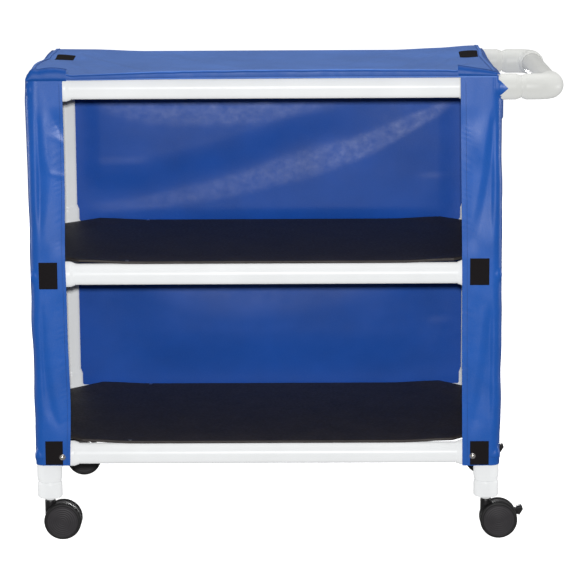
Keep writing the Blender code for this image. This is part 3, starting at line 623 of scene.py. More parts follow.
def pipe_piece(node, direction, outer, wall, look):
    """A pipe: the ring outer wall, end, inner wall, end carried along the node's own axis."""
    low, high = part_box(node)
    centre = np.array((low + high) / 2)
    way = np.array(AXES[direction], float)
    half = abs(np.dot(np.array(high - low), way)) / 2
    inner, soft = outer - wall, 0.0004
    ring = [(inner, -half), (outer - soft, -half), (outer, -half + soft), (outer, half - soft),
            (outer - soft, half), (inner, half), (inner, -half)]
    points, faces = turned(ring, centre, way, bpy.context.scene.cart_pipes.sides)
    stand_in(node, "pipe", points, faces, look, "white_pipe_plastic")


def lip_profile(radius, length, settings, drop=None):
    """Mouth of a collar: (radius, distance) from full width, through a soft taper, to the end face."""
    lip, soft = settings.lip, 0.0007
    drop = settings.lip_drop if drop is None else drop
    share = np.linspace(0, 1, 9)
    taper = np.stack([radius - drop * ease(share), length - lip + (lip - soft) * share], axis=-1)
    end = radius - drop
    corner = bow((end - soft, length - soft), soft, 0, 90, 3)
    bore = PIPE + GAP
    mouth = [(bore + soft, length), (bore, length - soft), (bore, SEAT), (0, SEAT)]
    return np.concatenate([taper, corner[1:], mouth])


def fitting_arm(way, others, length, settings):
    """Rows of one arm of a fitting at the origin: its foot, its barrel and its mouth.

    Round the arm, at angle a, the tube starts at the arm's radius times the largest part of the
    ring direction along another arm, which is where two equal tubes cross. Near that line the
    surface swells along the mean of the tubes' normals, which rounds the crease.
    """
    fillet = settings.fillet
    ring = ring_about(*cross_axes(way), settings.sides)
    start = COLLAR * np.maximum(0, np.max(ring @ np.array(others).T, axis=1))
    foot = COLLAR * ring + start[:, None] * way
    total, weight = ring.copy(), np.ones(settings.sides)
    for other in others:
        reach = foot @ other
        aside = foot - reach[:, None] * other
        size = np.linalg.norm(aside, axis=1)
        near = np.exp(-((size - COLLAR) / 0.0016) ** 2) * (reach > 1e-9)
        total += near[:, None] * aside / np.maximum(size, 1e-9)[:, None]
        weight += near
    mean = total / weight[:, None]
    size = np.linalg.norm(mean, axis=1)
    swell = fillet * (1 / size - 1)
    spread = fillet * np.sqrt(np.maximum(1 / size**2 - 1, 0)) + 0.0002
    share = np.linspace(0, 1, 6)
    rise = share[:, None] * spread
    swelling = swell * (1 - share[:, None]) ** 2
    near_crease = foot + rise[..., None] * way + swelling[..., None] * unit(mean)
    mouth = lip_profile(COLLAR, length, settings, 0.0018 if length == LEG_REACH else None)
    blend = np.linspace(0, 1, 5)[1:-1, None]
    last = start + spread
    barrel = COLLAR * ring + (last + (mouth[0, 1] - last) * blend)[..., None] * way
    mouth_rows = mouth[:, 0, None, None] * ring + mouth[:, 1, None, None] * way
    return np.concatenate([near_crease, barrel, mouth_rows])


def corner_ball(ways, steps):
    """An eighth of a ball of the collar's radius at the origin, away from three arms."""
    away = [-way for way in ways]
    up, over = np.meshgrid(np.linspace(0, math.pi / 2, steps), np.linspace(0, math.pi / 2, steps),
                           indexing="ij")
    up, over = up[..., None], over[..., None]
    return COLLAR * (np.cos(up) * (np.cos(over) * away[0] + np.sin(over) * away[1])
                     + np.sin(up) * away[2])


def fitting_piece(node, centre, arms):
    """A pipe fitting: one tube for each arm, and a ball that closes a corner of three arms."""
    settings = bpy.context.scene.cart_pipes
    sides = settings.sides
    ways = {name: np.array(AXES[name], float) for name in arms}
    parts = []
    for name, length in arms.items():
        others = [other for key, other in ways.items() if key != name]
        rows = fitting_arm(ways[name], others, length, settings) + np.array(centre)
        parts.append((rows, grid_faces(len(rows), sides, loop=True)))
    if len(arms) == 3:
        steps = sides // 4 + 1
        parts.append((corner_ball(ways.values(), steps) + np.array(centre), grid_faces(steps, steps)))
    points, faces = joined(parts)
    look = "handle" if "top" in node and "right" in node else "pipe"
    stand_in(node, "moulding", points, faces, look, "white_pipe_plastic", sharp=50)


def swept(route, first, second, radii, sides):
    """Surface swept along a route: at each stop a ring of that radius in the plane of two axes."""
    ring = ring_about(first[:, None, :], second[:, None, :], sides)
    points = route[:, None, :] + radii[:, None, None] * ring
    return points.reshape(-1, 3), grid_faces(len(route), sides, loop=True)


def elbow_piece(node, y, toward):
    """A street elbow: spigot, lip, quarter bend, lip and socket as one ring swept along the route."""
    settings = bpy.context.scene.cart_pipes
    bend = 0.030
    mouth = lip_profile(COLLAR, REACH, settings)
    spigot_end = REACH + 0.0015 + REACH - SEAT - GAP
    first = [(-spigot_end, 0.0), (-spigot_end, PIPE - 0.001), (-spigot_end + 0.001, PIPE), (-REACH, PIPE)]
    back = mouth[:12][::-1]
    first += [(-distance, radius) for radius, distance in back]
    stops = np.array(first)
    turn = np.linspace(0, math.pi / 2, 17)
    straight_in = np.stack([stops[:, 0], np.zeros(len(stops))], axis=-1)
    curve = np.stack([-bend + bend * np.sin(turn), bend - bend * np.cos(turn)], axis=-1)
    straight_out = np.stack([np.zeros(len(mouth)), mouth[:, 1]], axis=-1)
    flat = np.concatenate([straight_in, curve, straight_out])
    radii = np.concatenate([stops[:, 1], np.full(len(turn), COLLAR), mouth[:, 0]])
    heading = np.concatenate([np.zeros(len(stops)), turn, np.full(len(mouth), math.pi / 2)])
    route = np.stack([HANDLE + flat[:, 0], y + toward * flat[:, 1], np.full(len(flat), TOP)], axis=-1)
    side = np.stack([-np.sin(heading), toward * np.cos(heading), np.zeros(len(flat))], axis=-1)
    up = np.broadcast_to(np.array([0.0, 0.0, 1.0]), side.shape)
    points, faces = swept(route, side, up, radii, settings.sides)
    stand_in(node, "bend", points, faces, "handle", "white_pipe_plastic")


def leg_piece(node, x, y):
    """A leg cap: plug, collar with a soft waist above and a round shoulder below, boss and bore."""
    settings = bpy.context.scene.cart_pipes
    low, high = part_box(node)
    top = LEVELS["bottom"] - LEG_REACH - GAP
    boss = low.z
    floor = boss + 0.0065
    share = np.linspace(0, 1, 7)
    waist = np.stack([COLLAR - 0.0004 - 0.0018 * (1 - ease(share)), top - 0.0050 * share], axis=-1)
    round_off = bow((COLLAR - 0.0034, floor + 0.0030), 0.0030, 0, -90, 8)
    profile = np.concatenate([
        [(0, high.z), (PIPE - 0.001, high.z), (PIPE, high.z - 0.001), (PIPE, top)], waist, round_off,
        [(0.0112, floor), (0.0095, floor - 0.0012), (0.0092, boss + 0.0008), (0.0084, boss),
         (0.0058, boss), (0.0058, boss + 0.0346), (0, boss + 0.0346)]])
    points, faces = turned(profile, (x, y, 0), (0, 0, 1), settings.sides)
    stand_in(node, "turning", points, faces, "pipe", "white_pipe_plastic")


def rounded_outline(corners, radius, steps=6, per_edge=6):
    """Closed outline with each corner replaced by an arc; corners run anticlockwise."""
    corners = np.asarray(corners, float)
    before, after = np.roll(corners, 1, axis=0), np.roll(corners, -1, axis=0)
    to_before, to_after = unit(before - corners), unit(after - corners)
    half = np.arccos(np.clip(np.sum(to_before * to_after, axis=1), -1, 1)) / 2
    cut = np.broadcast_to(np.asarray(radius, float), (len(corners),)) / np.tan(half)
    start, stop = corners + to_before * cut[:, None], corners + to_after * cut[:, None]
    share = np.linspace(0, 1, steps + 1)[None, :, None]
    arcs = start[:, None] * (1 - share) ** 2 + 2 * corners[:, None] * share * (1 - share) \
        + stop[:, None] * share**2
    run = np.linspace(0, 1, per_edge + 1)[None, 1:-1, None]
    following = np.roll(start, -1, axis=0)
    edges = stop[:, None] * (1 - run) + following[:, None] * run
    return np.concatenate([arcs, edges], axis=1).reshape(-1, 2)


def slab(outline, thickness, edge, rings=8, inner=(0.0, 0.0)):
    """Plate about a middle point: the outline drawn in towards it, with a rounded rim, as (a, b, height).

    Rows run from the middle of one face, over the rim, to the middle of the other.
    """
    outline = np.asarray(outline, float)
    inner = np.asarray(inner, float)
    arms = outline - inner
    size = np.linalg.norm(arms, axis=1, keepdims=True)
    half = thickness / 2
    share = np.linspace(0, 1, rings + 1)[:-1]
    turn = np.radians(np.linspace(90, -90, 9))
    inset = edge * (1 - np.cos(turn))
    height = (half - edge) * np.sign(np.sin(turn)) * (np.abs(np.sin(turn)) > 1e-9) + edge * np.sin(turn)
    top = inner + share[:, None, None] * (arms * (1 - edge / size))
    rim = inner + arms * (1 - inset[:, None, None] / size)
    rows = np.concatenate([top, rim, top[::-1]])
    levels = np.concatenate([np.full(len(top), half), height, np.full(len(top), -half)])
    grid = np.concatenate([rows, np.broadcast_to(levels[:, None, None], rows.shape[:2] + (1,))], axis=-1)
    return grid, grid_faces(len(rows), len(outline), loop=True)


def board_piece(node, level):
    """A shelf: a clipped rectangle that rides up on the corner fittings where it was clipped."""
    settings = bpy.context.scene.cart_boards
    low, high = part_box(node)
    mid_x, mid_y = (low.x + high.x) / 2, (low.y + high.y) / 2
    half_x, half_y, clip = (high.x - low.x) / 2, (high.y - low.y) / 2, settings.clip
    outline = rounded_outline([(half_x, -half_y + clip), (half_x, half_y - clip), (half_x - clip, half_y),
                               (-half_x + clip, half_y), (-half_x, half_y - clip), (-half_x, -half_y + clip),
                               (-half_x + clip, -half_y), (half_x - clip, -half_y)], 0.004, 4, 24)
    grid, faces = slab(outline, settings.thickness, 0.0009, rings=28)
    gap = (half_x - np.abs(grid[..., 0])) + (half_y - np.abs(grid[..., 1])) - clip
    lift = (COLLAR - PIPE) * (1 - ease(gap / 0.110))
    base = low.z + settings.thickness / 2
    points = np.stack([mid_x + grid[..., 0], mid_y + grid[..., 1], base + lift + grid[..., 2]], axis=-1)
    stand_in(node, "sheet", points.reshape(-1, 3), faces, "board", "black_shelf_plastic")
    top = base + settings.thickness / 2
    for number, (rail, x) in enumerate(SHELF_SCREWS):
        y = FRONT if rail == "front" else REAR
        dome = bow((0, -0.0046), 0.0062, 90, 48, 6)
        profile = np.concatenate([dome, [(0.0044, -0.0002), (0.0, -0.0002)]])
        profile[:, 0] = np.maximum(profile[:, 0], 0)
        points, faces = turned(profile, (x, y, top), (0, 0, 1), 24)
        put(f"{level}_shelf_screw_{number}", points, faces, "screw", "frame", "black_moulded_plastic")


# Casters


def wheel_piece(node, hub, outward):
    """A caster wheel: the outline of face rings, round tread, inner face and blind bore, turned."""
    settings = bpy.context.scene.cart_casters
    inner, outer, radius, edge = 0.0058, 0.0218, WHEEL, settings.edge
    face = outer - 0.0012
    spread = np.linspace(0.0, 0.0305, 28)
    rings = 0.00022 * np.cos(spread / 0.0042 * 2 * math.pi) * ease(spread / 0.006)
    dish = np.stack([spread, face + 0.0006 * (1 - (spread / 0.0305) ** 2) + rings], axis=-1)
    step = np.array([(0.0308, face), (0.0314, face + 0.0009), (0.0322, outer)])
    tread = bow((radius - edge, outer - edge), edge, 90, 0, 8)
    back = np.array([(radius, inner + 0.0016), (radius - 0.0005, inner + 0.0005), (radius - 0.0016, inner),
                     (0.0043, inner), (0.0043, 0.0158), (0, 0.0158)])
    profile = np.concatenate([dish, step, tread, back])
    points, faces = turned(profile, hub, outward, 96)
    rows = np.repeat(np.arange(len(profile) - 1), 96)
    rubber = ((rows >= len(dish) + 1) & (rows < len(profile) - 4)).astype(int)
    stand_in(node, "disc", points, faces, ("wheel", "tread"), "charcoal_wheel_plastic", inside=rubber)


def upright(grid, x, y, z):
    """A slab's (a, b, height) points stood up: a along X, b along Z, height along Y."""
    return np.stack([x + grid[..., 0], y + grid[..., 2], z + grid[..., 1]], axis=-1)


def caster_piece(node, x, y, braked):
    """A caster body: a rounded web between the wheels, a turned housing cut by the wheel arches,
    the stem and the axle. The housing's ring points inside an arch are drawn in to the web.
    """
    half_web = 0.0055
    hub = np.array([x + TRAIL, y, WHEEL])
    skirt = bow((0, 0), 0.014, 215, 305, 12)
    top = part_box(node.replace("caster_body", "leg_cap"))[0].z - GAP
    outline = np.concatenate([bow((0, 0), WEB_EDGE, -15, 165, 40), skirt])
    if braked:
        cut_out = bow(PEDAL_PIN, 0.0070, 118, 225, 10)
        outline = np.concatenate([bow((0, 0), WEB_EDGE, 78, 165, 20), skirt,
                                  bow((0, 0), WEB_EDGE, -15, -8, 3), cut_out[::-1]])
    grid, faces = slab(outline, 2 * half_web, 0.0012, rings=6, inner=(-0.002, -0.004))
    parts = [(upright(grid, *hub), faces)]
    heights = np.linspace(0.046, top, 40)
    radius = 0.011 - 0.0007 * ease((heights - top + 0.003) / 0.003) - 0.0012 * ease((0.049 - heights) / 0.003)
    profile = np.stack([np.concatenate([[0], radius, [0]]),
                        np.concatenate([heights[:1], heights, heights[-1:]])], axis=-1)
    points, quads = turned(profile, (x, y, 0), (0, 0, 1), 64)
    away = np.hypot(points[:, 0] - hub[0], points[:, 2] - hub[2]) - (WHEEL + 0.0012)
    limit = half_web - GAP + 0.02 * ease(away / 0.002)
    points[:, 1] = y + np.clip(points[:, 1] - y, -limit, limit)
    parts.append((points, quads))
    stem = np.array([(0, top - 0.004), (0.0055, top - 0.004), (0.0055, top + 0.0328), (0.0048, top + 0.0340),
                     (0, top + 0.0340)])
    parts.append(turned(stem, (x, y, 0), (0, 0, 1), 32))
    axle = np.array([(0, -0.0155), (0.0036, -0.0155), (0.004, -0.0150), (0.004, 0.0150), (0.0036, 0.0155),
                     (0, 0.0155)])
    parts.append(turned(axle, hub, (0, 1, 0), 32))
    if braked:
        for side in (-1, 1):
            cheek_outline = np.concatenate([bow((0, 0), WEB_EDGE, -15, 80, 24), [(-0.004, 0.010)]])
            cheek, quads = slab(cheek_outline, 0.0024, 0.0006, rings=5, inner=(0.012, 0.010))
            placed = upright(cheek, *hub)
            placed[..., 1] += side * (half_web - 0.0012)
            parts.append((placed, quads))
    points, faces = joined(parts)
    stand_in(node, "shape", points, faces, "caster", "black_moulded_plastic")


def pedal_piece(node, x, y):
    """A brake pedal: a lever round its pin and a toe pad, both rounded plates."""
    hub = (x + TRAIL, y, WHEEL)
    pin = np.array(PEDAL_PIN)
    inner, outer = WHEEL + 0.0045, WHEEL + 0.0160
    toe = [bow((0, 0), far, angle, angle, 1)[0]
           for far, angle in ((inner, 9), (outer, 22), (outer, 30), (inner, 33))]
    low, high = toe[0], toe[3]
    pad_grid, pad_faces = slab(rounded_outline(toe, 0.0012, 4, 4), 0.020, 0.0012, rings=4,
                               inner=tuple(np.mean(toe, axis=0)))
    lever = np.concatenate([bow(pin, 0.0054, 100, 250, 16), [low + 0.001], [(low + high) / 2 * 1.05],
                            [high - 0.001]])
    lever_grid, lever_faces = slab(lever, 0.0054, 0.0008, rings=4, inner=tuple(pin + (0.009, 0.001)))
    pin_profile = [(0, -0.0052), (0.0018, -0.0052), (0.002, -0.005), (0.002, 0.005), (0.0018, 0.0052),
                   (0, 0.0052)]
    spot = (hub[0] + pin[0], y, hub[2] + pin[1])
    points, faces = joined([(upright(pad_grid, *hub), pad_faces), (upright(lever_grid, *hub), lever_faces),
                            turned(pin_profile, spot, (0, 1, 0), 20)])
    stand_in(node, "shape", points, faces, "caster", "black_moulded_plastic")


# Cover

FACE = FRONT - COVER - CLOTH
BACK = REAR + COVER + CLOTH
REAR_ROUND = 0.0200
FOLD_RUN = 0.022
PANEL_DROP = 0.782
STRIP_CUT = 0.072
HEM_ROW = 0.0125
SEW_TOP = 0.925
# The fastener patches on the front strips: their span across the cart and their heights
STRIP_PATCHES = {-1: {"middle": ((-0.5095, -0.4728), (0.5170, 0.5705)),
                      "lower": ((-0.5050, -0.4700), (0.1580, 0.2068))},
                 1: {"middle": ((0.3425, 0.3807), (0.5220, 0.5755)),
                     "lower": ((0.3455, 0.3830), (0.1550, 0.2040))}}
# How far a side cloth stands out from its even round at each height: heights, then distances
SPREAD = {-1: ([0.158, 0.200, 0.248, 0.297, 0.345, 0.395, 0.443, 0.491, 0.540, 0.588, 0.636, 0.684, 0.779,
                0.826, 0.873, 0.893, 0.905, 0.925],
               [-0.0010, -0.0010, -0.0019, -0.0002, -0.0010, -0.0008, 0.0012, 0.0002, 0.0008, 0.0010,
                0.0002, 0.0017, 0.0019, 0.0021, 0.0030, 0.0032, 0.0025, 0.0016]),
          1: ([0.158, 0.200, 0.248, 0.297, 0.345, 0.395, 0.443, 0.540, 0.636, 0.731, 0.779, 0.826, 0.873,
               0.925],
              [-0.0015, -0.0015, 0.0002, 0.0014, 0.0006, 0.0014, 0.0003, 0.0000, -0.0003, -0.0006, -0.0023,
               -0.0031, -0.0035, -0.0037])}


def curve_through(value, stops, heights):
    """Smooth curve through (stop, height) pairs: cubic pieces with slopes from the neighbours."""
    stops, heights = np.asarray(stops, float), np.asarray(heights, float)
    slope = np.gradient(heights, stops)
    value = np.clip(value, stops[0], stops[-1])
    index = np.clip(np.searchsorted(stops, value, side="right") - 1, 0, len(stops) - 2)
    width = stops[index + 1] - stops[index]
    t = (value - stops[index]) / width
    return heights[index] * (1 + 2 * t) * (1 - t) ** 2 + slope[index] * width * t * (1 - t) ** 2 \
        + heights[index + 1] * t * t * (3 - 2 * t) + slope[index + 1] * width * t * t * (t - 1)


def ripple(a, b, seed, length):
    """Soft unevenness about 1 high: six sine waves with seeded headings, lengths and phases."""
    pick = np.random.default_rng(seed)
    total = np.zeros(np.broadcast(a, b).shape)
    for heading, stretch, phase in zip(pick.uniform(0, math.pi, 6), pick.uniform(0.6, 1.7, 6),
                                       pick.uniform(0, 2 * math.pi, 6)):
        total = total + np.sin((a * math.cos(heading) + b * math.sin(heading)) * 2 * math.pi
                               / (length * stretch) + phase)
    return total / 3.2


def ridge(x, y, start, stop, width, height):
    """A soft fold: a bell across the line from start to stop, faded at its ends."""
    start, stop = np.array(start), np.array(stop)
    line = stop - start
    size = np.hypot(*line)
    run = ((x - start[0]) * line[0] + (y - start[1]) * line[1]) / size
    aside = ((x - start[0]) * line[1] - (y - start[1]) * line[0]) / size
    fade = ease(run / 0.05 + 0.3) * ease((size - run) / 0.05 + 0.3)
    return height * np.exp(-(aside / width) ** 2) * fade


def flank(across, line, width, depth):
    """One flank of a fold: a smooth step of a depth where a coordinate passes a line."""
    return depth * ease((across - line) / width + 0.5)


def bell(across, width):
    """A smooth hump, 1 high."""
    return np.exp(-(across / width) ** 2)


def outside(first, second, radius):
    """The first coordinate, moved out of a circle round the origin where the second one crosses it."""
    return np.maximum(first, np.sqrt(np.maximum(radius**2 - second**2, 0)))


def near_posts(value, low, high):
    """1 over a fitting's arm, falling to 0 along the rail."""
    return 1 - ease((np.minimum(value - low, high - value) - REACH) / (2 * REACH))


def hang(value, low, high):
    """0 over a rail, 1 in the middle of the span."""
    return 1 - np.clip(np.abs(2 * value - low - high) / (high - low), 0, 1) ** 5


def top_height(x, y):
    """Underside of the top cloth: on the fittings at the corners, on the rails between, slack inside."""
    high = near_posts(x, LEFT, RIGHT) * near_posts(y, FRONT, REAR)
    sag = bpy.context.scene.cart_cloths.sag * hang(x, LEFT, RIGHT) * hang(y, FRONT, REAR)
    droop = 0.0085 * (1 - ease((x - LEFT + COVER + CLOTH) / 0.022)) * (1 - ease((y - FACE) / 0.055))
    over = np.clip(y - BACK + REAR_ROUND, 0, REAR_ROUND)
    return TOP + COVER - DRAW * (1 - high) - sag - droop - REAR_ROUND + np.sqrt(REAR_ROUND**2 - over**2)


def taut(height):
    """0 at the fittings, 1 in the middle between two levels, where the cloth draws in to the posts."""
    total = np.zeros_like(height)
    for low, high in (("bottom", "middle"), ("middle", "top")):
        share = (height - LEVELS[low] - REACH) / (LEVELS[high] - LEVELS[low] - 2 * REACH)
        total = total + np.where((share > 0) & (share < 1), np.sin(np.clip(share, 0, 1) * math.pi) ** 1.6, 0)
    return total


def clear_of_levels(height):
    """1 away from the rails' heights, 0 where a fitting's arm lies behind the strip."""
    total = np.ones_like(height)
    for level in LEVELS.values():
        total = total * ease((np.abs(height - level) - 0.030) / 0.045)
    return total


def strip_width(side, height):
    """Width of a front strip, from the corner to its free edge, at a height."""
    if side < 0:
        return curve_through(height, [0.158, 0.292, 0.414, 0.515, 0.572, 0.696, 0.925],
                             [0.0690, 0.0720, 0.0695, 0.0690, 0.0680, 0.0700, 0.0700])
    return curve_through(height, [0.158, 0.411, 0.568, 0.791, 0.925],
                         [0.0740, 0.0765, 0.0775, 0.0810, 0.0832])


def post_round():
    """Radius of the cover round a post, and the length of its quarter circle."""
    radius = bpy.context.scene.cart_cloths.corner
    return radius, radius * math.pi / 2


def side_point(side, run, height):
    """Inner face of a side cloth: run is the length round the corner, from its start on the front.

    Below 0 it is the front strip, then a quarter circle round the post, then the flat side. The
    cloth is drawn in between the fittings, leans back where no arm holds it, and waves softly.
    """
    radius, arc = post_round()
    post = LEFT if side < 0 else RIGHT
    turn = np.clip(run / arc, 0, 1) * math.pi / 2
    out = COVER - radius + np.minimum(run, 0) + radius * np.sin(turn)
    deep = FRONT - COVER + radius * (1 - np.cos(turn)) + np.maximum(run - arc, 0)
    lean_x, lean_y = np.sin(turn), -np.cos(turn)
    free = ease((-out) / 0.035)
    loose = clear_of_levels(height)
    push = -0.2 * DRAW * taut(height) - 0.0018 * free * loose
    push = push + strip_folds(side, post + side * out, height) * ease(0.5 - run / 0.012) \
        * (0.10 + 0.90 * loose)
    push = push + 0.0005 * (ripple(run, height * 0.35, 11 + side, 0.045) + 1.0) * (0.25 + 0.75 * loose) \
        * (1 - 0.9 * ease((run - arc) / 0.05))
    edge = out + strip_width(side, height) - COVER - CLOTH
    pucker = np.sin(height * 2 * math.pi / 0.0125 + 2.6 * np.sin(height * 61) + edge * 240) \
        * np.sin(height * 53 + 2 * side)
    push = push + 0.00013 * pucker * bell(edge - 0.010, 0.009) * loose
    side_free = ease((run - arc) / 0.06) * ease((arc + REAR - FRONT + 0.02 - run) / 0.06)
    push = push + 0.0016 * (ripple(run, height * 0.5, 21 + side, 0.22) + 0.6) * side_free \
        * (0.3 + 0.7 * taut(height))
    push = push + curve_through(height, *SPREAD[side]) * ease(run / arc + 0.2)
    if side > 0:
        crest = np.clip((height - TOP) / COVER, 0, 1)
        push = push - 0.0065 * crest**2 * ease((run - arc) / 0.02) * ease((REAR + 0.03 - deep) / 0.02)
    return clear_of_frame(post, side, out + lean_x * push, deep + lean_y * push, height, turn)


def clear_of_frame(post, side, out, deep, height, turn):
    """A side cloth's points moved outside the posts, the collars and the rails that it lies on."""
    height = np.broadcast_to(height, out.shape)
    off = np.min([np.abs(height - level) for level in LEVELS.values()], axis=0)
    radius = np.where(off < REACH + 0.001, COLLAR, PIPE) + 0.0002
    facing = turn < math.pi / 4
    front = FRONT - deep
    rear = np.minimum(np.abs(front), np.abs(deep - REAR))
    arm = np.where(rear < REACH, COLLAR, PIPE) + 0.0002
    beside = np.where(out > -REACH, COLLAR, PIPE)
    front = np.where(facing, outside(outside(front, out, radius), off, beside), front)
    out = np.where(facing, out, outside(outside(out, rear, radius), off, arm))
    return np.stack([post + side * out, FRONT - front, height], axis=-1)


def strip_folds(side, x, z):
    """Standing folds of a front strip: flanks and humps along lines that wander down the cloth."""
    if side < 0:
        upper = curve_through(z, [0.64, 0.70, 0.735, 0.781, 0.854, 0.92],
                              [-0.4890, -0.4930, -0.4900, -0.4950, -0.5000, -0.5020])
        total = 0.0012 * bell(x - upper, 0.0125) * bell(z - 0.765, 0.085)
        away = curve_through(z, [0.56, 0.60, 0.636, 0.6957, 0.7354, 0.781, 0.854, 0.9125],
                             [-0.512, -0.508, -0.5048, -0.4955, -0.4906, -0.4973, -0.5033, -0.506])
        total = total - flank(away, x, 0.026, 0.0036) * ease((z - 0.600) / 0.07)
        across = curve_through(z, [0.80, 0.828, 0.854, 0.883, 0.9125, 0.93],
                               [-0.452, -0.467, -0.480, -0.489, -0.498, -0.503])
        total = total - flank(x, across, 0.016, 0.0015) * ease((z - 0.80) / 0.03)
        low = curve_through(z, [0.20, 0.2258, 0.271, 0.3224, 0.3735, 0.4346, 0.52],
                            [-0.4890, -0.4815, -0.4915, -0.5000, -0.5065, -0.5110, -0.5130])
        total = total - 0.0027 * bell(x - low, 0.0105) * ease((z - 0.205) / 0.07) * ease((0.50 - z) / 0.07)
        total = total + 0.0006 * bell(z - 0.7455 + 0.2 * (x + 0.472), 0.0055) * ease((x + 0.487) / 0.008)
        return total + 0.0004 * bell(z - 0.818 + 0.4 * (x + 0.472), 0.008) * ease((x + 0.492) / 0.01)
    upper = curve_through(z, [0.58, 0.598, 0.652, 0.7315, 0.810, 0.883, 0.93],
                          [0.3400, 0.3440, 0.3553, 0.3683, 0.3792, 0.3902, 0.3960])
    total = -flank(x, upper, 0.019, 0.0034) * ease((z - 0.600) / 0.11)
    total = total + 0.0022 * bell(x - 0.352, 0.020) * bell(z - 0.800, 0.042)
    low = curve_through(z, [0.21, 0.241, 0.3354, 0.451, 0.532], [0.3460, 0.3510, 0.3641, 0.3769, 0.3860])
    total = total - flank(x, low, 0.021, 0.0034) * ease((z - 0.215) / 0.10) * ease((0.500 - z) / 0.06)
    return total + 0.0012 * bell(x - 0.3350, 0.012) * bell(z - 0.42, 0.09)


def side_top(side, run):
    """Height of a side cloth's upper edge: under the header on the front, under the top behind."""
    radius, arc = post_round()
    deep = FRONT - COVER + radius + np.maximum(run - arc, 0)
    edge = (LEFT - COVER) if side < 0 else (RIGHT + COVER)
    behind = top_height(np.full_like(run, edge), deep) - GAP
    return np.minimum(behind, (0.9330 if side < 0 else 0.9372) + 0.0060 * ease((run - arc) / 0.05))


def side_grid(side, columns, rows):
    """Grid of a side cloth from its top edge to the hem, with its columns close at the corner."""
    radius, arc = post_round()
    rear = arc + (REAR + COVER - GAP) - (FRONT - COVER + radius)
    share = np.linspace(0, 1, rows)[:, None]
    strip = np.linspace(-1, 0, columns // 4)[None, :-1]
    rest = np.concatenate([np.linspace(0, arc, 13)[:-1], np.linspace(arc, rear, columns)])[None, :]
    guess = side_top(side, np.concatenate([strip * 0.05, rest], axis=1))
    hem = 0.1565 if side < 0 else 0.1535
    height = guess + (hem - guess) * share
    width = strip_width(side, height[:, :strip.shape[1]]) - (radius - CLOTH)
    run = np.concatenate([strip * width, np.broadcast_to(rest, (rows, rest.shape[1]))], axis=1)
    return side_point(side, run, height)


def pipe_notches(grid):
    """Opens a notch over each handle pipe in the right side cloth's grid.

    Points just inside a notch's rim are moved out onto it, and the returned mask of faces leaves
    out the ones with a corner deeper inside.
    """
    hole, margin = COLLAR + 0.0012, 0.0045
    edge_part = grid[..., 0] > RIGHT + COVER - 0.0170
    inside = np.zeros(grid.shape[:2], bool)
    for y in (FRONT, REAR):
        across, rise = grid[..., 1] - y, np.minimum(grid[..., 2] - TOP, 0)
        size = np.hypot(across, rise)
        cut = edge_part & (size < hole)
        near = cut & (size > hole - margin)
        inside = (inside | cut) & ~near
        scale = np.where(near, hole / np.maximum(size, 1e-6), 1)
        grid[..., 1] = np.where(near, y + across * scale, grid[..., 1])
        grid[..., 2] = np.where(near & (rise < 0), TOP + rise * scale, grid[..., 2])
    return ~(inside[:-1, :-1] | inside[1:, :-1] | inside[:-1, 1:] | inside[1:, 1:])


def side_cloth(side):
    """A side panel with its front strip, and its flat size; the right one is notched for the pipes."""
    name = "left" if side < 0 else "right"
    grid = side_grid(side, 190, 260)
    uv = cloth_uv(grid)
    keep = pipe_notches(grid) if side > 0 else None
    piece = cloth_piece(f"{name}_side_cloth", grid, uv=uv, flip=side > 0, keep=keep)
    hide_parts(f"cover_{name}_side")
    depth = REAR - FRONT + 2 * COVER
    return piece, (STRIP_CUT + depth, PANEL_DROP)


def strip_face(side, x, z):
    """Outer face of a front strip and its normals, at places across the cart and heights."""
    post = LEFT if side < 0 else RIGHT
    grid = side_point(side, side * (x - post) - (COVER - post_round()[0]), z)
    normal = facing(slopes(grid), (0, -1, 0))
    return grid + normal * CLOTH, normal


def pipe_tab(name, y, middle_angle, start, tip, half_angle):
    """One pointed tab of a crossed cut: cloth bent round the pipe, its width running out to a point.

    A point at share t of the length and share a of the width lies at the collar's radius, at the
    middle angle plus a times the half angle times (1 - t), and at t of the way to the tip.
    """
    t = np.linspace(0, 1, 25)[:, None]
    a = np.linspace(-1, 1, 17)[None, :]
    angle = middle_angle + a * half_angle * (1 - 0.985 * t)
    radius = COLLAR + 0.0005 + 0.0007 * ease((t - 0.6) / 0.4)
    x = start + (tip - start) * t + 0 * a
    grid = np.stack([x, y + radius * np.cos(angle), TOP + radius * np.sin(angle)], axis=-1)
    return cloth_piece(name, grid, thickness=0.0011)


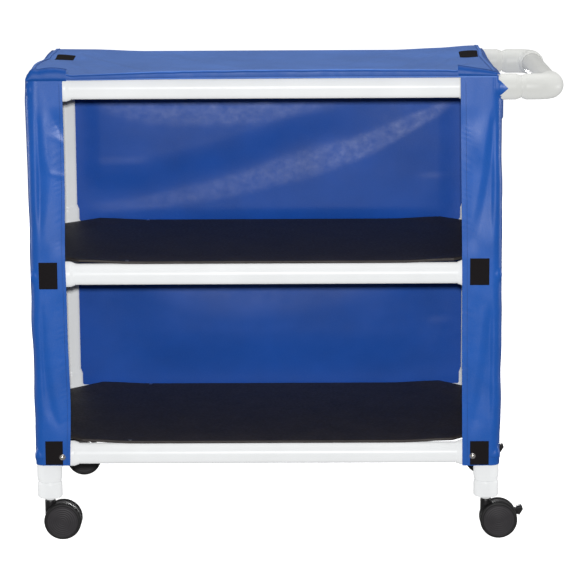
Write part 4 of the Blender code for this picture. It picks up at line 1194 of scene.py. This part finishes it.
def back_folds(x, z):
    """Slack folds of the back cloth, drawn towards the front: a long one that climbs to the right, a
    swag under the top rail and one under the middle rail, each a smooth step across its line.
    """
    line = curve_through(x, [-0.4756, -0.344, -0.269, -0.197, -0.123, -0.050, 0.022, 0.096, 0.168, 0.239,
                             0.313, 0.36],
                         [0.589, 0.600, 0.613, 0.627, 0.645, 0.667, 0.6875, 0.709, 0.736, 0.771,
                          0.8077, 0.835])
    stops = [-0.4756, -0.344, -0.197, -0.050, 0.022, 0.096, 0.168, 0.239, 0.313, 0.36]
    half = curve_through(x, stops, [0.018, 0.019, 0.026, 0.033, 0.036, 0.033, 0.029, 0.023, 0.015, 0.012])
    deep = curve_through(x, stops, [0.0015, 0.0026, 0.0046, 0.0066, 0.0074, 0.0072, 0.0064, 0.0050, 0.0030,
                                    0.0012])
    total = -deep * (1 - ease((z - line) / (2 * half) + 0.5)) * ease((z - 0.548) / 0.045)
    swag = curve_through(x, [-0.4706, -0.4124, -0.3388, -0.2671, -0.1215, -0.0497, 0.022, 0.0959, 0.16],
                         [0.815, 0.792, 0.775, 0.769, 0.769, 0.779, 0.790, 0.803, 0.825])
    slack = curve_through(x, [-0.48, -0.4124, -0.2671, -0.1215, 0.022, 0.13, 0.20],
                          [0.0016, 0.0045, 0.0064, 0.0064, 0.0050, 0.0018, 0.0])
    total = total - slack * (1 - ease((z - swag) / 0.080)) * ease((z - line - half) / 0.085)
    for level, low, rise, side in ((0.686, 0.63, (0.020, 0.04), ease((-0.30 - x) / 0.06)),
                                   (0.652, 0.58, (0.018, 0.05), ease((x - 0.25) / 0.05))):
        total = total - 0.0011 * (1 - ease((z - level) / rise[0])) * ease((z - low) / rise[1]) * side
    lower = curve_through(x, [-0.3825, -0.3038, -0.2159, -0.163, -0.0835, 0.0048, 0.0952, 0.1812, 0.2405,
                              0.30],
                          [0.415, 0.3742, 0.3491, 0.3376, 0.3395, 0.3504, 0.3658, 0.3879, 0.4056, 0.43])
    belly = 0.0070 * ease((x + 0.42) / 0.16) * ease((0.33 - x) / 0.16)
    total = total - belly * (1 - ease((z - lower) / 0.130)) * ease((z - 0.210) / 0.11) * (z < 0.53)
    return total - 0.0012 * (1 - ease((z - 0.330) / 0.020)) * ease((z - 0.23) / 0.06) \
        * ease((x - 0.26) / 0.05)


def back_grid(columns, rows):
    """Back cloth: from its top edge to the hem, drawn in by slack folds between the posts."""
    left, right = LEFT - COVER - CLOTH, RIGHT + COVER + CLOTH
    x = np.linspace(right, left, columns)[None, :]
    share = np.linspace(0, 1, rows)[:, None]
    top = top_height(x, np.full_like(x, REAR + COVER)) - GAP
    height = top + (HEM - 0.001 - top) * share
    x = np.broadcast_to(x, height.shape)
    wide = ease((x - LEFT - 0.025) / 0.05) * ease((RIGHT - 0.025 - x) / 0.05)
    push = back_folds(x, height) * wide + 0.0002 * (ripple(x, height, 5, 0.11) - 1) * wide * taut(height)
    y = REAR + COVER + push + 0.0002
    return np.stack([x, np.broadcast_to(y, height.shape), height], axis=-1)


def flap_edges(y):
    """Left and right edges of the thrown back flap at a depth."""
    left = curve_through(y, [FACE, 0.02, 0.10, 0.20, 0.28], [-0.5243, -0.5245, -0.5210, -0.5180, -0.5172])
    right = curve_through(y, [FACE, -0.15, 0.0, 0.12, 0.28], [0.3915, 0.3900, 0.3885, 0.3885, 0.3915])
    return left, right


# Heights of the flap's crest and of its front seam at places across the cart
CREST = ([-0.5243, -0.517, -0.500, -0.485, -0.465, -0.456, -0.450, -0.444, -0.417, -0.360, -0.280, -0.186,
          -0.090, 0.045, 0.200, 0.297, 0.3145, 0.321, 0.330, 0.345, 0.378, 0.392],
         [0.9330, 0.9455, 0.9500, 0.9525, 0.9520, 0.9490, 0.9450, 0.9415, 0.9411, 0.9432, 0.9465, 0.9482,
          0.9491, 0.9497, 0.9490, 0.9475, 0.9470, 0.9500, 0.9500, 0.9480, 0.9430, 0.9395])
SEAM = ([-0.530, -0.417, -0.280, -0.090, 0.200, 0.400], [0.9308, 0.9310, 0.9322, 0.9328, 0.9334, 0.9334])
# The flap's soft folds: start, stop, width and height
CREASES = (((-0.470, 0.170), (-0.215, -0.300), 0.013, 0.0022),
           ((-0.455, -0.010), (-0.398, -0.262), 0.010, 0.0018),
           ((-0.500, -0.080), (-0.420, -0.262), 0.009, 0.0016),
           ((0.345, 0.110), (0.262, -0.200), 0.012, 0.0020),
           ((0.320, 0.190), (0.195, -0.170), 0.014, 0.0022),
           ((0.372, 0.020), (0.322, -0.235), 0.009, 0.0015),
           ((0.240, 0.240), (0.050, -0.120), 0.020, 0.0016),
           ((-0.330, 0.240), (-0.060, -0.160), 0.022, 0.0018))


def flap_far(x, y):
    """Height of the flap behind its front fold: on the top cloth, lifted along both side edges."""
    base = top_height(x, np.minimum(y, BACK - REAR_ROUND)) + CLOTH + 0.0003
    left = curve_through(y, [FACE, -0.223, -0.167, -0.093, 0.021, 0.100, 0.204, 0.28],
                         [0.9380, 0.9385, 0.9430, 0.9430, 0.9385, 0.9365, 0.9375, 0.9380]) - CLOTH
    right = curve_through(y, [FACE, -0.250, -0.144, -0.062, 0.060, 0.100, 0.140, 0.200, 0.28],
                          [0.9420, 0.9420, 0.9413, 0.9400, 0.9385, 0.9405, 0.9445, 0.9450, 0.9450]) - CLOTH
    rear = curve_through(x, [-0.518, -0.425, -0.295, 0.392], [0.0010, 0.0, 0.0, 0.0])
    rise = np.maximum(left - base, 0) * (1 - ease((x + 0.5262) / 0.085)) \
        + np.maximum(right - base, 0) * ease((x - 0.300) / 0.080)
    folds = sum(ridge(x, y, *crease) for crease in CREASES)
    step = (y - 0.098) / 0.0235
    by_patches = 0.0032 * bell(x + 0.483, 0.036) + 0.0042 * bell(x - 0.358, 0.040)
    folds = folds + step * bell(step, 1.3) * by_patches
    inside = ease((REAR - y) / 0.09)
    soft = 0.0007 * (ripple(x, y, 31, 0.17) + 1.0) + 0.0004 * (ripple(x, y, 37, 0.06) + 1)
    return base + rise + (folds + soft) * inside + rear * ease((y - 0.05) / 0.20)


def flap_point(u, run):
    """Underside of the thrown back flap: u goes across, run along the cloth from the front seam.

    A quarter ellipse from the seam up to the crest, the top, a tight bend behind and the part
    that hangs there in long waves.
    """
    length = bpy.context.scene.cart_cloths.length
    rise_run, bend = FOLD_RUN, REAR_ROUND + 0.0015
    bend_run = bend * math.pi / 2
    front, depth = FACE - 0.0006, 0.0125
    rear = BACK + 0.0015
    flat = rear - bend - (front + depth)
    turn = np.clip(run / rise_run, 0, 1) * math.pi / 2
    y_fold = front + depth * (1 - np.cos(turn)) ** 3 + 0.0018 * bell(run - 0.0146, 0.0011)
    y_top = front + depth + np.clip(run - rise_run, 0, flat)
    y = np.where(run < rise_run, y_fold, y_top)
    left, right = flap_edges(y)
    x = left + (right - left) * u
    crest = curve_through(x, *CREST)
    far = flap_far(x, y)
    hold = np.exp(-(np.maximum(y - front - depth, 0) / 0.045) ** 2)
    level = far + (crest - flap_far(x, np.full_like(y, front + depth))) * hold
    seam = curve_through(x, *SEAM)
    z = np.where(run < rise_run, seam + (level - seam) * np.sin(turn), level)
    around = np.clip((run - rise_run - flat) / bend_run, 0, 1) * math.pi / 2
    y = y + bend * np.sin(around)
    z = z - bend * (1 - np.cos(around))
    down = np.maximum(run - rise_run - flat - bend_run, 0)
    share = down / (length - rise_run - flat - bend_run)
    wave = 0.0070 * share * np.sin(math.pi * 3.5 * u) ** 2 \
        + 0.0012 * (ripple(x, z, 41, 0.12) + 1) * np.sqrt(share)
    return np.stack([x, y + wave, z - down], axis=-1)


def flap_runs(first, last, step):
    """Running lengths, closer together in the front fold and the rear bend."""
    length = bpy.context.scene.cart_cloths.length
    runs = np.concatenate([np.linspace(0, FOLD_RUN, 45), np.arange(0.026, 0.530, step),
                           np.linspace(0.532, 0.574, 25), np.arange(0.578, length, step), [length]])
    return runs[(runs >= first) & (runs <= last)]


def flap_grid(runs, columns, low=0.0, high=1.0):
    """Grid of the flap between two shares of its width."""
    return flap_point(np.linspace(low, high, columns)[None, :], np.asarray(runs)[:, None])


def share_at(x):
    """Share of the flap's width where the front seam passes a place across the cart."""
    left, right = flap_edges(np.array(FACE))
    return float((x - left) / (right - left))


def flap_cloth():
    """The front flap, thrown back over the top, with its backing side up."""
    grid = flap_grid(flap_runs(0, 1, 0.0042), 230)
    piece = cloth_piece("front_flap_cloth", grid, ("lining", "outer"))
    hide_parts("cover_front_flap")
    return piece


def flap_trim(name, runs, columns, low, high, look, lift=CLOTH + 0.0004, thickness=0.0012):
    """A band of cloth lying on the flap's upper side."""
    grid = flap_grid(runs, columns, low, high)
    grid = grid + slopes(grid) * lift
    return cloth_piece(name, grid, (look, "inside"), thickness)


def corner_fold(name, low, high, tops, lean, tuck, seam):
    """A fold of outer cloth standing in front of the flap at a corner: seam to crest, then tucked back.

    Its height at each place across follows the crest; the section is a quarter ellipse that leans
    back, and beyond the crest the cloth turns down by the tuck.
    """
    x = np.linspace(low, high, 60)[None, :]
    turn = np.linspace(0, 1.25, 34)[:, None] * math.pi / 2
    top = curve_through(x, *tops)
    y = FACE - 0.0026 + lean * (1 - np.cos(np.minimum(turn, math.pi / 2))) ** 1.6 \
        + tuck * np.clip(turn / (math.pi / 2) - 1, 0, 1) * 4 + 0.0020 * bell(turn, 0.10)
    z = seam + (top - seam) * np.sin(turn) + 0 * y
    wobble = 0.0005 * ripple(x, z, 51, 0.02) * np.sin(turn) ** 2
    grid = np.stack([np.broadcast_to(x, z.shape), np.broadcast_to(y, z.shape) - np.abs(wobble), z], axis=-1)
    # The outer face takes the darkened fold finish, which is painted shade
    return cloth_piece(name, grid, ("fold", "inside"))


def stitches(name, line, normal):
    """A sewn row: on a line, one short rounded bar per pitch, sunk at both ends.

    Each bar is a ring of six points carried along a stretch of the line, with its thickness
    and rise following half a sine.
    """
    pitch, fill = 0.0042, 0.62
    size = bpy.context.scene.cart_cloths.thread / 2
    steps = np.linalg.norm(np.diff(line, axis=0), axis=1)
    run = np.concatenate([[0], np.cumsum(steps)])
    count = max(2, int(run[-1] / pitch))
    centre = (np.arange(count) + 0.5) * run[-1] / count
    along_bar = np.linspace(-0.5, 0.5, 5)
    place = centre[:, None] + along_bar[None, :] * fill * pitch
    spot = np.stack([np.interp(place, run, line[:, k]) for k in range(3)], axis=-1)
    up = unit(np.stack([np.interp(place, run, normal[:, k]) for k in range(3)], axis=-1))
    ahead = unit(np.gradient(spot, axis=1))
    aside = np.cross(ahead, up)
    arch = np.cos(along_bar * math.pi * 0.92)[None, :, None]
    ring = ring_about(aside[:, :, None], up[:, :, None], 6)
    points = spot[:, :, None] + up[:, :, None] * (size * (0.9 * arch[..., None] - 0.25)) \
        + ring * size * (0.35 + 0.65 * arch[..., None])
    one = grid_faces(5, 6, loop=True)
    caps = np.array([[0, 3, 2, 1], [0, 5, 4, 3], [24, 25, 26, 27], [24, 27, 28, 29]])
    block = np.concatenate([one, caps])
    faces = (block[None] + (np.arange(count) * 30)[:, None, None]).reshape(-1, 4)
    return put(name, points.reshape(-1, 3), faces, "thread", "frame", "blue_coated_cloth", weld=False,
               sharp=80)


def tape_patch(name, grid, normal, thickness=0.0016):
    """A hook and loop patch on a grid of a cloth's face: crowned, thinner at its bound edge."""
    rows, columns = grid.shape[:2]
    a = np.abs(np.linspace(-1, 1, rows))[:, None]
    b = np.abs(np.linspace(-1, 1, columns))[None, :]
    edge = ease((1 - a) / 0.06) * ease((1 - b) / 0.08)
    low = grid + normal * 0.0002
    points, faces, *_ = shell(low, 0.0006 + (thickness - 0.0006) * edge,
                              flip=float(np.sum(slopes(low) * normal)) < 0)
    return put(name, points, faces, "tape", "frame", "black_moulded_plastic", weld=False, sharp=60)


def snap(name, spot, outward, radius=0.0071):
    """A press stud: the profile of a flange, a groove and a domed cap, turned about its normal."""
    dome = bow((0, -0.0024), 0.0078, 90, 26, 14)
    dome[:, 0] *= radius / dome[-1, 0] * 0.93
    rim = np.array([(radius, dome[-1, 1] - 0.0003), (radius * 1.02, dome[-1, 1] - 0.0008),
                    (radius * 0.92, dome[-1, 1] - 0.0012), (0, dome[-1, 1] - 0.0012)])
    profile = np.concatenate([dome, rim])
    profile[:, 1] -= profile[:, 1].min()
    points, faces = turned(profile, spot, outward, 48)
    return put(name, points, faces, "snap", "frame", "black_moulded_plastic")


# Operators


class CART_OT_pipes(bpy.types.Operator):
    """Make the rails, posts and handle bar as smooth pipes"""
    bl_idname = "cart.pipes"
    bl_label = "Pipes"

    def execute(self, context):
        wall = context.scene.cart_pipes.wall
        for level in LEVELS:
            for side, way in (("front", "+x"), ("rear", "+x"), ("left", "+y"), ("right", "+y")):
                pipe_piece(f"{level}_{side}_rail", way, PIPE, wall, "pipe")
        for corner in CORNERS:
            for part in ("lower", "upper"):
                pipe_piece(f"{corner}_{part}_post", "+z", PIPE, wall, "pipe")
        # The handle bar takes the darkened bar finish, which is painted shade
        pipe_piece("handle_bar", "+y", PIPE, wall, "bar")
        return {"FINISHED"}


class CART_OT_fittings(bpy.types.Operator):
    """Make the twelve corner fittings with rounded creases and tapered mouths"""
    bl_idname = "cart.fittings"
    bl_label = "Fittings"

    def execute(self, context):
        for corner, (x, y) in CORNERS.items():
            inward = ("+x" if "left" in corner else "-x", "+y" if "front" in corner else "-y")
            arms = {way: REACH for way in inward}
            fitting_piece(f"bottom_{corner}_fitting", (x, y, LEVELS["bottom"]),
                          {**arms, "+z": REACH, "-z": LEG_REACH})
            fitting_piece(f"middle_{corner}_fitting", (x, y, LEVELS["middle"]),
                          {**arms, "+z": REACH, "-z": REACH})
            top = {**arms, "-z": REACH}
            if "right" in corner:
                top["+x"] = REACH
            fitting_piece(f"top_{corner}_fitting", (x, y, TOP), top)
        return {"FINISHED"}


class CART_OT_handle(bpy.types.Operator):
    """Make the two handle elbows"""
    bl_idname = "cart.handle"
    bl_label = "Handle elbows"

    def execute(self, context):
        elbow_piece("handle_front_elbow", FRONT, 1)
        elbow_piece("handle_rear_elbow", REAR, -1)
        return {"FINISHED"}


class CART_OT_casters(bpy.types.Operator):
    """Make the leg caps, casters, wheels and brake pedals"""
    bl_idname = "cart.casters"
    bl_label = "Casters"

    def execute(self, context):
        for corner, (x, y) in CORNERS.items():
            leg_piece(f"{corner}_leg_cap", x, y)
            braked = "right" in corner
            caster_piece(f"{corner}_caster_body", x, y, braked)
            hub = (x + TRAIL, y, WHEEL)
            wheel_piece(f"{corner}_near_wheel", hub, (0, -1, 0))
            wheel_piece(f"{corner}_far_wheel", hub, (0, 1, 0))
            if braked:
                pedal_piece(f"{corner}_brake_pedal", x, y)
        return {"FINISHED"}


class CART_OT_boards(bpy.types.Operator):
    """Make the two shelves and their screws"""
    bl_idname = "cart.boards"
    bl_label = "Shelves"

    def execute(self, context):
        board_piece("upper_shelf_board", "upper")
        board_piece("lower_shelf_board", "lower")
        return {"FINISHED"}


class CART_OT_sides(bpy.types.Operator):
    """Make the two side cloths with their strips, patches, snaps, tabs and stitching"""
    bl_idname = "cart.sides"
    bl_label = "Side cloths"

    def execute(self, context):
        for side, name in ((-1, "left"), (1, "right")):
            piece, flat = side_cloth(side)
            extras = []
            for level, ((x0, x1), (z0, z1)) in STRIP_PATCHES[side].items():
                x, z = np.meshgrid(np.linspace(x0, x1, 36), np.linspace(z1, z0, 50))
                extras.append(tape_patch(f"{name}_strip_{level}_patch", *strip_face(side, x, z)))
            x = -0.4716 if side < 0 else 0.3512
            grid, _ = strip_face(side, np.array([[x, x + 0.001]] * 2), np.array([[0.1735] * 2, [0.1725] * 2]))
            extras.append(snap(f"{name}_strip_snap", grid[0, 0] + np.array((0, -0.0002, 0)), (0, -1, 0)))
            heights = np.linspace(SEW_TOP, 0.160, 240)
            inset = 0.0040 if side < 0 else 0.0078
            post = LEFT if side < 0 else RIGHT
            x = post + side * (COVER + CLOTH - strip_width(side, heights) + inset)
            grid, normal = strip_face(side, np.stack([x, x + 0.001], axis=-1),
                                      np.stack([heights, heights], axis=-1))
            extras.append(stitches(f"{name}_strip_hem_stitches", grid[:, 0], normal[:, 0]))
            extras += self.side_rows(side, name)
            if side > 0:
                for place, y, outward, half in (("front", FRONT, math.pi + 0.02, 0.98),
                                                ("rear", REAR, 0.0, 0.62)):
                    extras.append(pipe_tab(f"{place}_pipe_tab_outer", y, outward, 0.3870, 0.4135, half))
        return {"FINISHED"}

    def side_rows(self, side, name):
        """Hem rows round the foot of a side cloth and down its rear seam."""
        radius, arc = post_round()
        rear = arc + REAR - FRONT + 2 * COVER - radius - 0.010
        run = np.linspace(-0.045, rear, 300)
        z = np.full_like(run, HEM + HEM_ROW)
        grid = side_point(side, np.stack([run, run + 0.001], axis=-1), np.stack([z, z], axis=-1))
        low = side_point(side, run, z - 0.001)
        normal = facing(unit(np.cross(grid[:, 1] - grid[:, 0], low - grid[:, 0])), (side, -1, 0))
        hem = stitches(f"{name}_side_hem_stitches", grid[:, 0] + normal * CLOTH, normal)
        z = np.linspace(SEW_TOP, 0.165, 220)
        spot = side_point(side, np.full_like(z, rear), z)
        normal = np.broadcast_to(np.array([float(side), 0.0, 0.0]), spot.shape)
        return [hem, stitches(f"{name}_rear_seam_stitches", spot + normal * CLOTH, normal)]


class CART_OT_back_and_top(bpy.types.Operator):
    """Make the back cloth and the top cloth"""
    bl_idname = "cart.back_and_top"
    bl_label = "Back and top cloths"

    def execute(self, context):
        grid = back_grid(260, 170)
        piece = cloth_piece("back_cloth", grid, flip=True)
        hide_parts("cover_back")
        x = np.linspace(LEFT - 0.015, RIGHT + 0.015, 300)
        line = np.stack([x, np.full_like(x, BACK + 0.0004), np.full_like(x, HEM + HEM_ROW)], axis=-1)
        row = stitches("back_hem_stitches", line, np.broadcast_to(np.array([0.0, 1.0, 0.0]), line.shape))
        x = np.linspace(LEFT - COVER - CLOTH, RIGHT + COVER - 0.0065, 170)[None, :]
        y = np.linspace(BACK, FRONT - COVER + 0.010, 110)[:, None]
        grid = np.stack([x + 0 * y, y + 0 * x, top_height(x + 0 * y, y + 0 * x)], axis=-1)
        piece = cloth_piece("top_cloth", grid, flip=True)
        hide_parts("cover_top")
        return {"FINISHED"}


class CART_OT_flap(bpy.types.Operator):
    """Make the flap thrown back over the top, with its header, folds, hems, patches and snaps"""
    bl_idname = "cart.flap"
    bl_label = "Front flap"

    def execute(self, context):
        piece = flap_cloth()
        left, right = share_at(-0.4468), share_at(0.3165)
        # The header band takes the darkened fold finish, which is painted shade
        extras = [flap_trim("header_band", np.linspace(0.0026, 0.0130, 20), 200, left, right, "fold",
                            CLOTH + 0.0001, 0.0020)]
        edges = flap_runs(0.024, 0.7885, 0.0042)
        for name, runs, columns, low, high in (("left", edges, 12, 0.0006, 0.0088),
                                               ("right", edges, 12, 0.9912, 0.9994),
                                               ("free", np.linspace(0.774, 0.7895, 9), 200, 0.017, 0.983)):
            # The hems take the lightened edge finish, which is a painted highlight
            extras.append(flap_trim(f"flap_{name}_hem", runs, columns, low, high, "edge", CLOTH, 0.0009))
        extras.append(corner_fold("front_left_fold", -0.5245, -0.4467,
                                  ([-0.525, -0.519, -0.500, -0.485, -0.460, -0.446],
                                   [0.9340, 0.9465, 0.9515, 0.9540, 0.9535, 0.9510]), 0.0135, 0.004, 0.9303))
        extras.append(corner_fold("front_right_fold", 0.3155, 0.3925,
                                  ([0.3150, 0.345, 0.378, 0.393], [0.9560, 0.9515, 0.9460, 0.9420]),
                                  0.0125, 0.001, 0.9366))
        for side, low, high in (("left", -0.5055, -0.4675), ("right", 0.3440, 0.3825)):
            for level, first, last, way in (("middle", 0.3615, 0.4085, (0, 0, 1)),
                                            ("lower", 0.737, 0.783, (0, 1, 0))):
                grid = flap_grid(np.linspace(first, last, 40), 32, share_at(low), share_at(high))
                out = facing(slopes(grid), way)
                extras.append(tape_patch(f"flap_{side}_{level}_patch", grid + out * CLOTH, out))
            x = -0.470 if side == "left" else 0.348
            spot = flap_point(np.array([[share_at(x)]]), np.array([[0.760]]))[0, 0]
            extras.append(snap(f"flap_{side}_snap", spot + np.array((0, CLOTH + 0.0016, 0)), (0, 1, 0)))
        extras += self.rows(edges)
        return {"FINISHED"}

    def rows(self, edges):
        """Stitched rows along the header band and the hems."""
        rows = []
        for name, share in (("left", 0.0076), ("right", 0.9924)):
            grid = flap_point(np.array([[share, share + 0.001]]), edges[:, None])
            down = np.gradient(grid[:, 0], axis=0)
            up = facing(unit(np.cross(grid[:, 1] - grid[:, 0], down)), (0.0, 0.5, 0.8))
            rows.append(stitches(f"flap_{name}_hem_stitches", grid[:, 0] + up * (CLOTH + 0.0009), up))
        for name, run in (("lower", 0.0040), ("upper", 0.0116)):
            shares = np.linspace(share_at(-0.444), share_at(0.314), 400)
            grid = flap_point(shares[None, :], np.array([[run], [run + 0.0005]]))
            ahead = np.gradient(grid[0], axis=0)
            out = facing(unit(np.cross(ahead, grid[1] - grid[0])), (0, -1, 0))
            rows.append(stitches(f"header_{name}_stitches", grid[0] + out * (CLOTH + 0.0020), out))
        return rows


class CART_OT_stage(bpy.types.Operator):
    """Make the pale floor, the lights and the camera"""
    bl_idname = "cart.stage"
    bl_label = "Floor, light and camera"

    def execute(self, context):
        settings = context.scene.cart_stage
        self.ground(context)
        world = bpy.data.worlds.new("pale_room")
        context.scene.world = world
        context.scene.view_settings.view_transform = "Standard"
        world.use_nodes = True
        backdrop = world.node_tree.nodes["Background"]
        backdrop.inputs["Color"].default_value = (1, 1, 1, 1)
        backdrop.inputs["Strength"].default_value = settings.fill
        eye = Vector((0.02113, -5.08317, 1.4565))
        self.camera(context, eye, (0.40798, 11.09996, -0.31654))
        about = (0.0, 0.2, 0.45)
        for lamp in (("flash", eye + Vector((0.0, 0.05, 0.10)), (0.0, 0.0, 0.52), 0.09, settings.flash),
                     ("overhead", (0.0, 0.2, 3.4), (0.0, 0.0, 0.5), 2.4, 44.0),
                     ("behind", (0.0, 4.2, 0.45), about, 0.5, 60.0),
                     ("left_side", (-4.2, 0.6, 0.45), about, 0.5, 34.0),
                     ("right_side", (4.2, 0.6, 0.45), about, 0.5, 34.0)):
            self.lamp(context, *lamp)
        return {"FINISHED"}

    def ground(self, context):
        """A round floor that glows for the camera and is hidden from the rays that light the cart."""
        reach = np.linspace(0, 1, 40)[:, None] ** 2 * 26.0
        angle = np.linspace(0, 2 * math.pi, 64, endpoint=False)[None, :]
        floor = np.stack([reach * np.cos(angle), reach * np.sin(angle), 0 * reach * angle - 0.0002], axis=-1)
        mesh = bpy.data.meshes.new("floor")
        mesh.from_pydata(floor.reshape(-1, 3).tolist(), [], grid_faces(40, 64, loop=True)[:, ::-1].tolist())
        form = bmesh.new()
        form.from_mesh(mesh)
        bmesh.ops.remove_doubles(form, verts=form.verts, dist=1e-6)
        form.to_mesh(mesh)
        form.free()
        mesh.materials.append(finish("floor"))
        ground = bpy.data.objects.new("floor", mesh)
        context.scene.collection.objects.link(ground)
        ground.visible_diffuse = ground.visible_glossy = False

    def camera(self, context, eye, angles):
        """The photo's camera at a place, turned by yaw, pitch and roll in degrees."""
        yaw, pitch, roll = (math.radians(value) for value in angles)
        level = Vector((math.cos(yaw), math.sin(yaw), 0))
        ahead = Vector((-math.sin(yaw), math.cos(yaw), 0))
        forward = math.cos(pitch) * ahead - math.sin(pitch) * Vector((0, 0, 1))
        up = level.cross(forward)
        right = math.cos(roll) * level + math.sin(roll) * up
        above = -math.sin(roll) * level + math.cos(roll) * up
        lens = bpy.data.cameras.new("photo_camera")
        lens.lens, lens.sensor_width, lens.clip_end = context.scene.cart_stage.lens, 36.0, 100.0
        camera = bpy.data.objects.new("photo_camera", lens)
        turn = Matrix((right, above, -forward)).transposed().to_4x4()
        camera.matrix_world = Matrix.Translation(eye) @ turn
        context.scene.collection.objects.link(camera)
        context.scene.camera = camera

    def lamp(self, context, name, spot, aim, size, power):
        """A square soft light at a spot, facing a point."""
        light = bpy.data.lights.new(name, "AREA")
        light.size, light.energy = size, power
        lamp = bpy.data.objects.new(name, light)
        lamp.location = spot
        lamp.rotation_euler = (Vector(aim) - Vector(spot)).to_track_quat("-Z", "Y").to_euler()
        context.scene.collection.objects.link(lamp)


class CART_PT_panel(bpy.types.Panel):
    """The cart's pieces and settings"""
    bl_idname = "CART_PT_panel"
    bl_label = "Covered shelf cart"
    bl_space_type = "VIEW_3D"
    bl_region_type = "UI"
    bl_category = "Cart"

    def draw(self, context):
        for step in STEPS:
            self.layout.operator(step.bl_idname)
        for group in GROUPS:
            box = self.layout.box()
            settings = getattr(context.scene, group)
            for name in GROUPS[group].__annotations__:
                box.prop(settings, name)


GROUPS = {"cart_pipes": CartPipeSettings, "cart_cloths": CartClothSettings, "cart_boards": CartBoardSettings,
          "cart_casters": CartCasterSettings, "cart_stage": CartStageSettings}
STEPS = (CART_OT_pipes, CART_OT_fittings, CART_OT_handle, CART_OT_casters, CART_OT_boards, CART_OT_sides,
         CART_OT_back_and_top, CART_OT_flap, CART_OT_stage)


def register():
    """Registers the settings, operators and panel."""
    for item in (*GROUPS.values(), *STEPS, CART_PT_panel):
        bpy.utils.register_class(item)
    for name, group in GROUPS.items():
        setattr(bpy.types.Scene, name, PointerProperty(type=group))


def unregister():
    """Takes the settings, operators and panel away again."""
    for name in GROUPS:
        delattr(bpy.types.Scene, name)
    for item in reversed((*GROUPS.values(), *STEPS, CART_PT_panel)):
        bpy.utils.unregister_class(item)


def main():
    register()
    for step in STEPS:
        group, name = step.bl_idname.split(".")
        getattr(getattr(bpy.ops, group), name)()


if __name__ == "__main__":
    main()
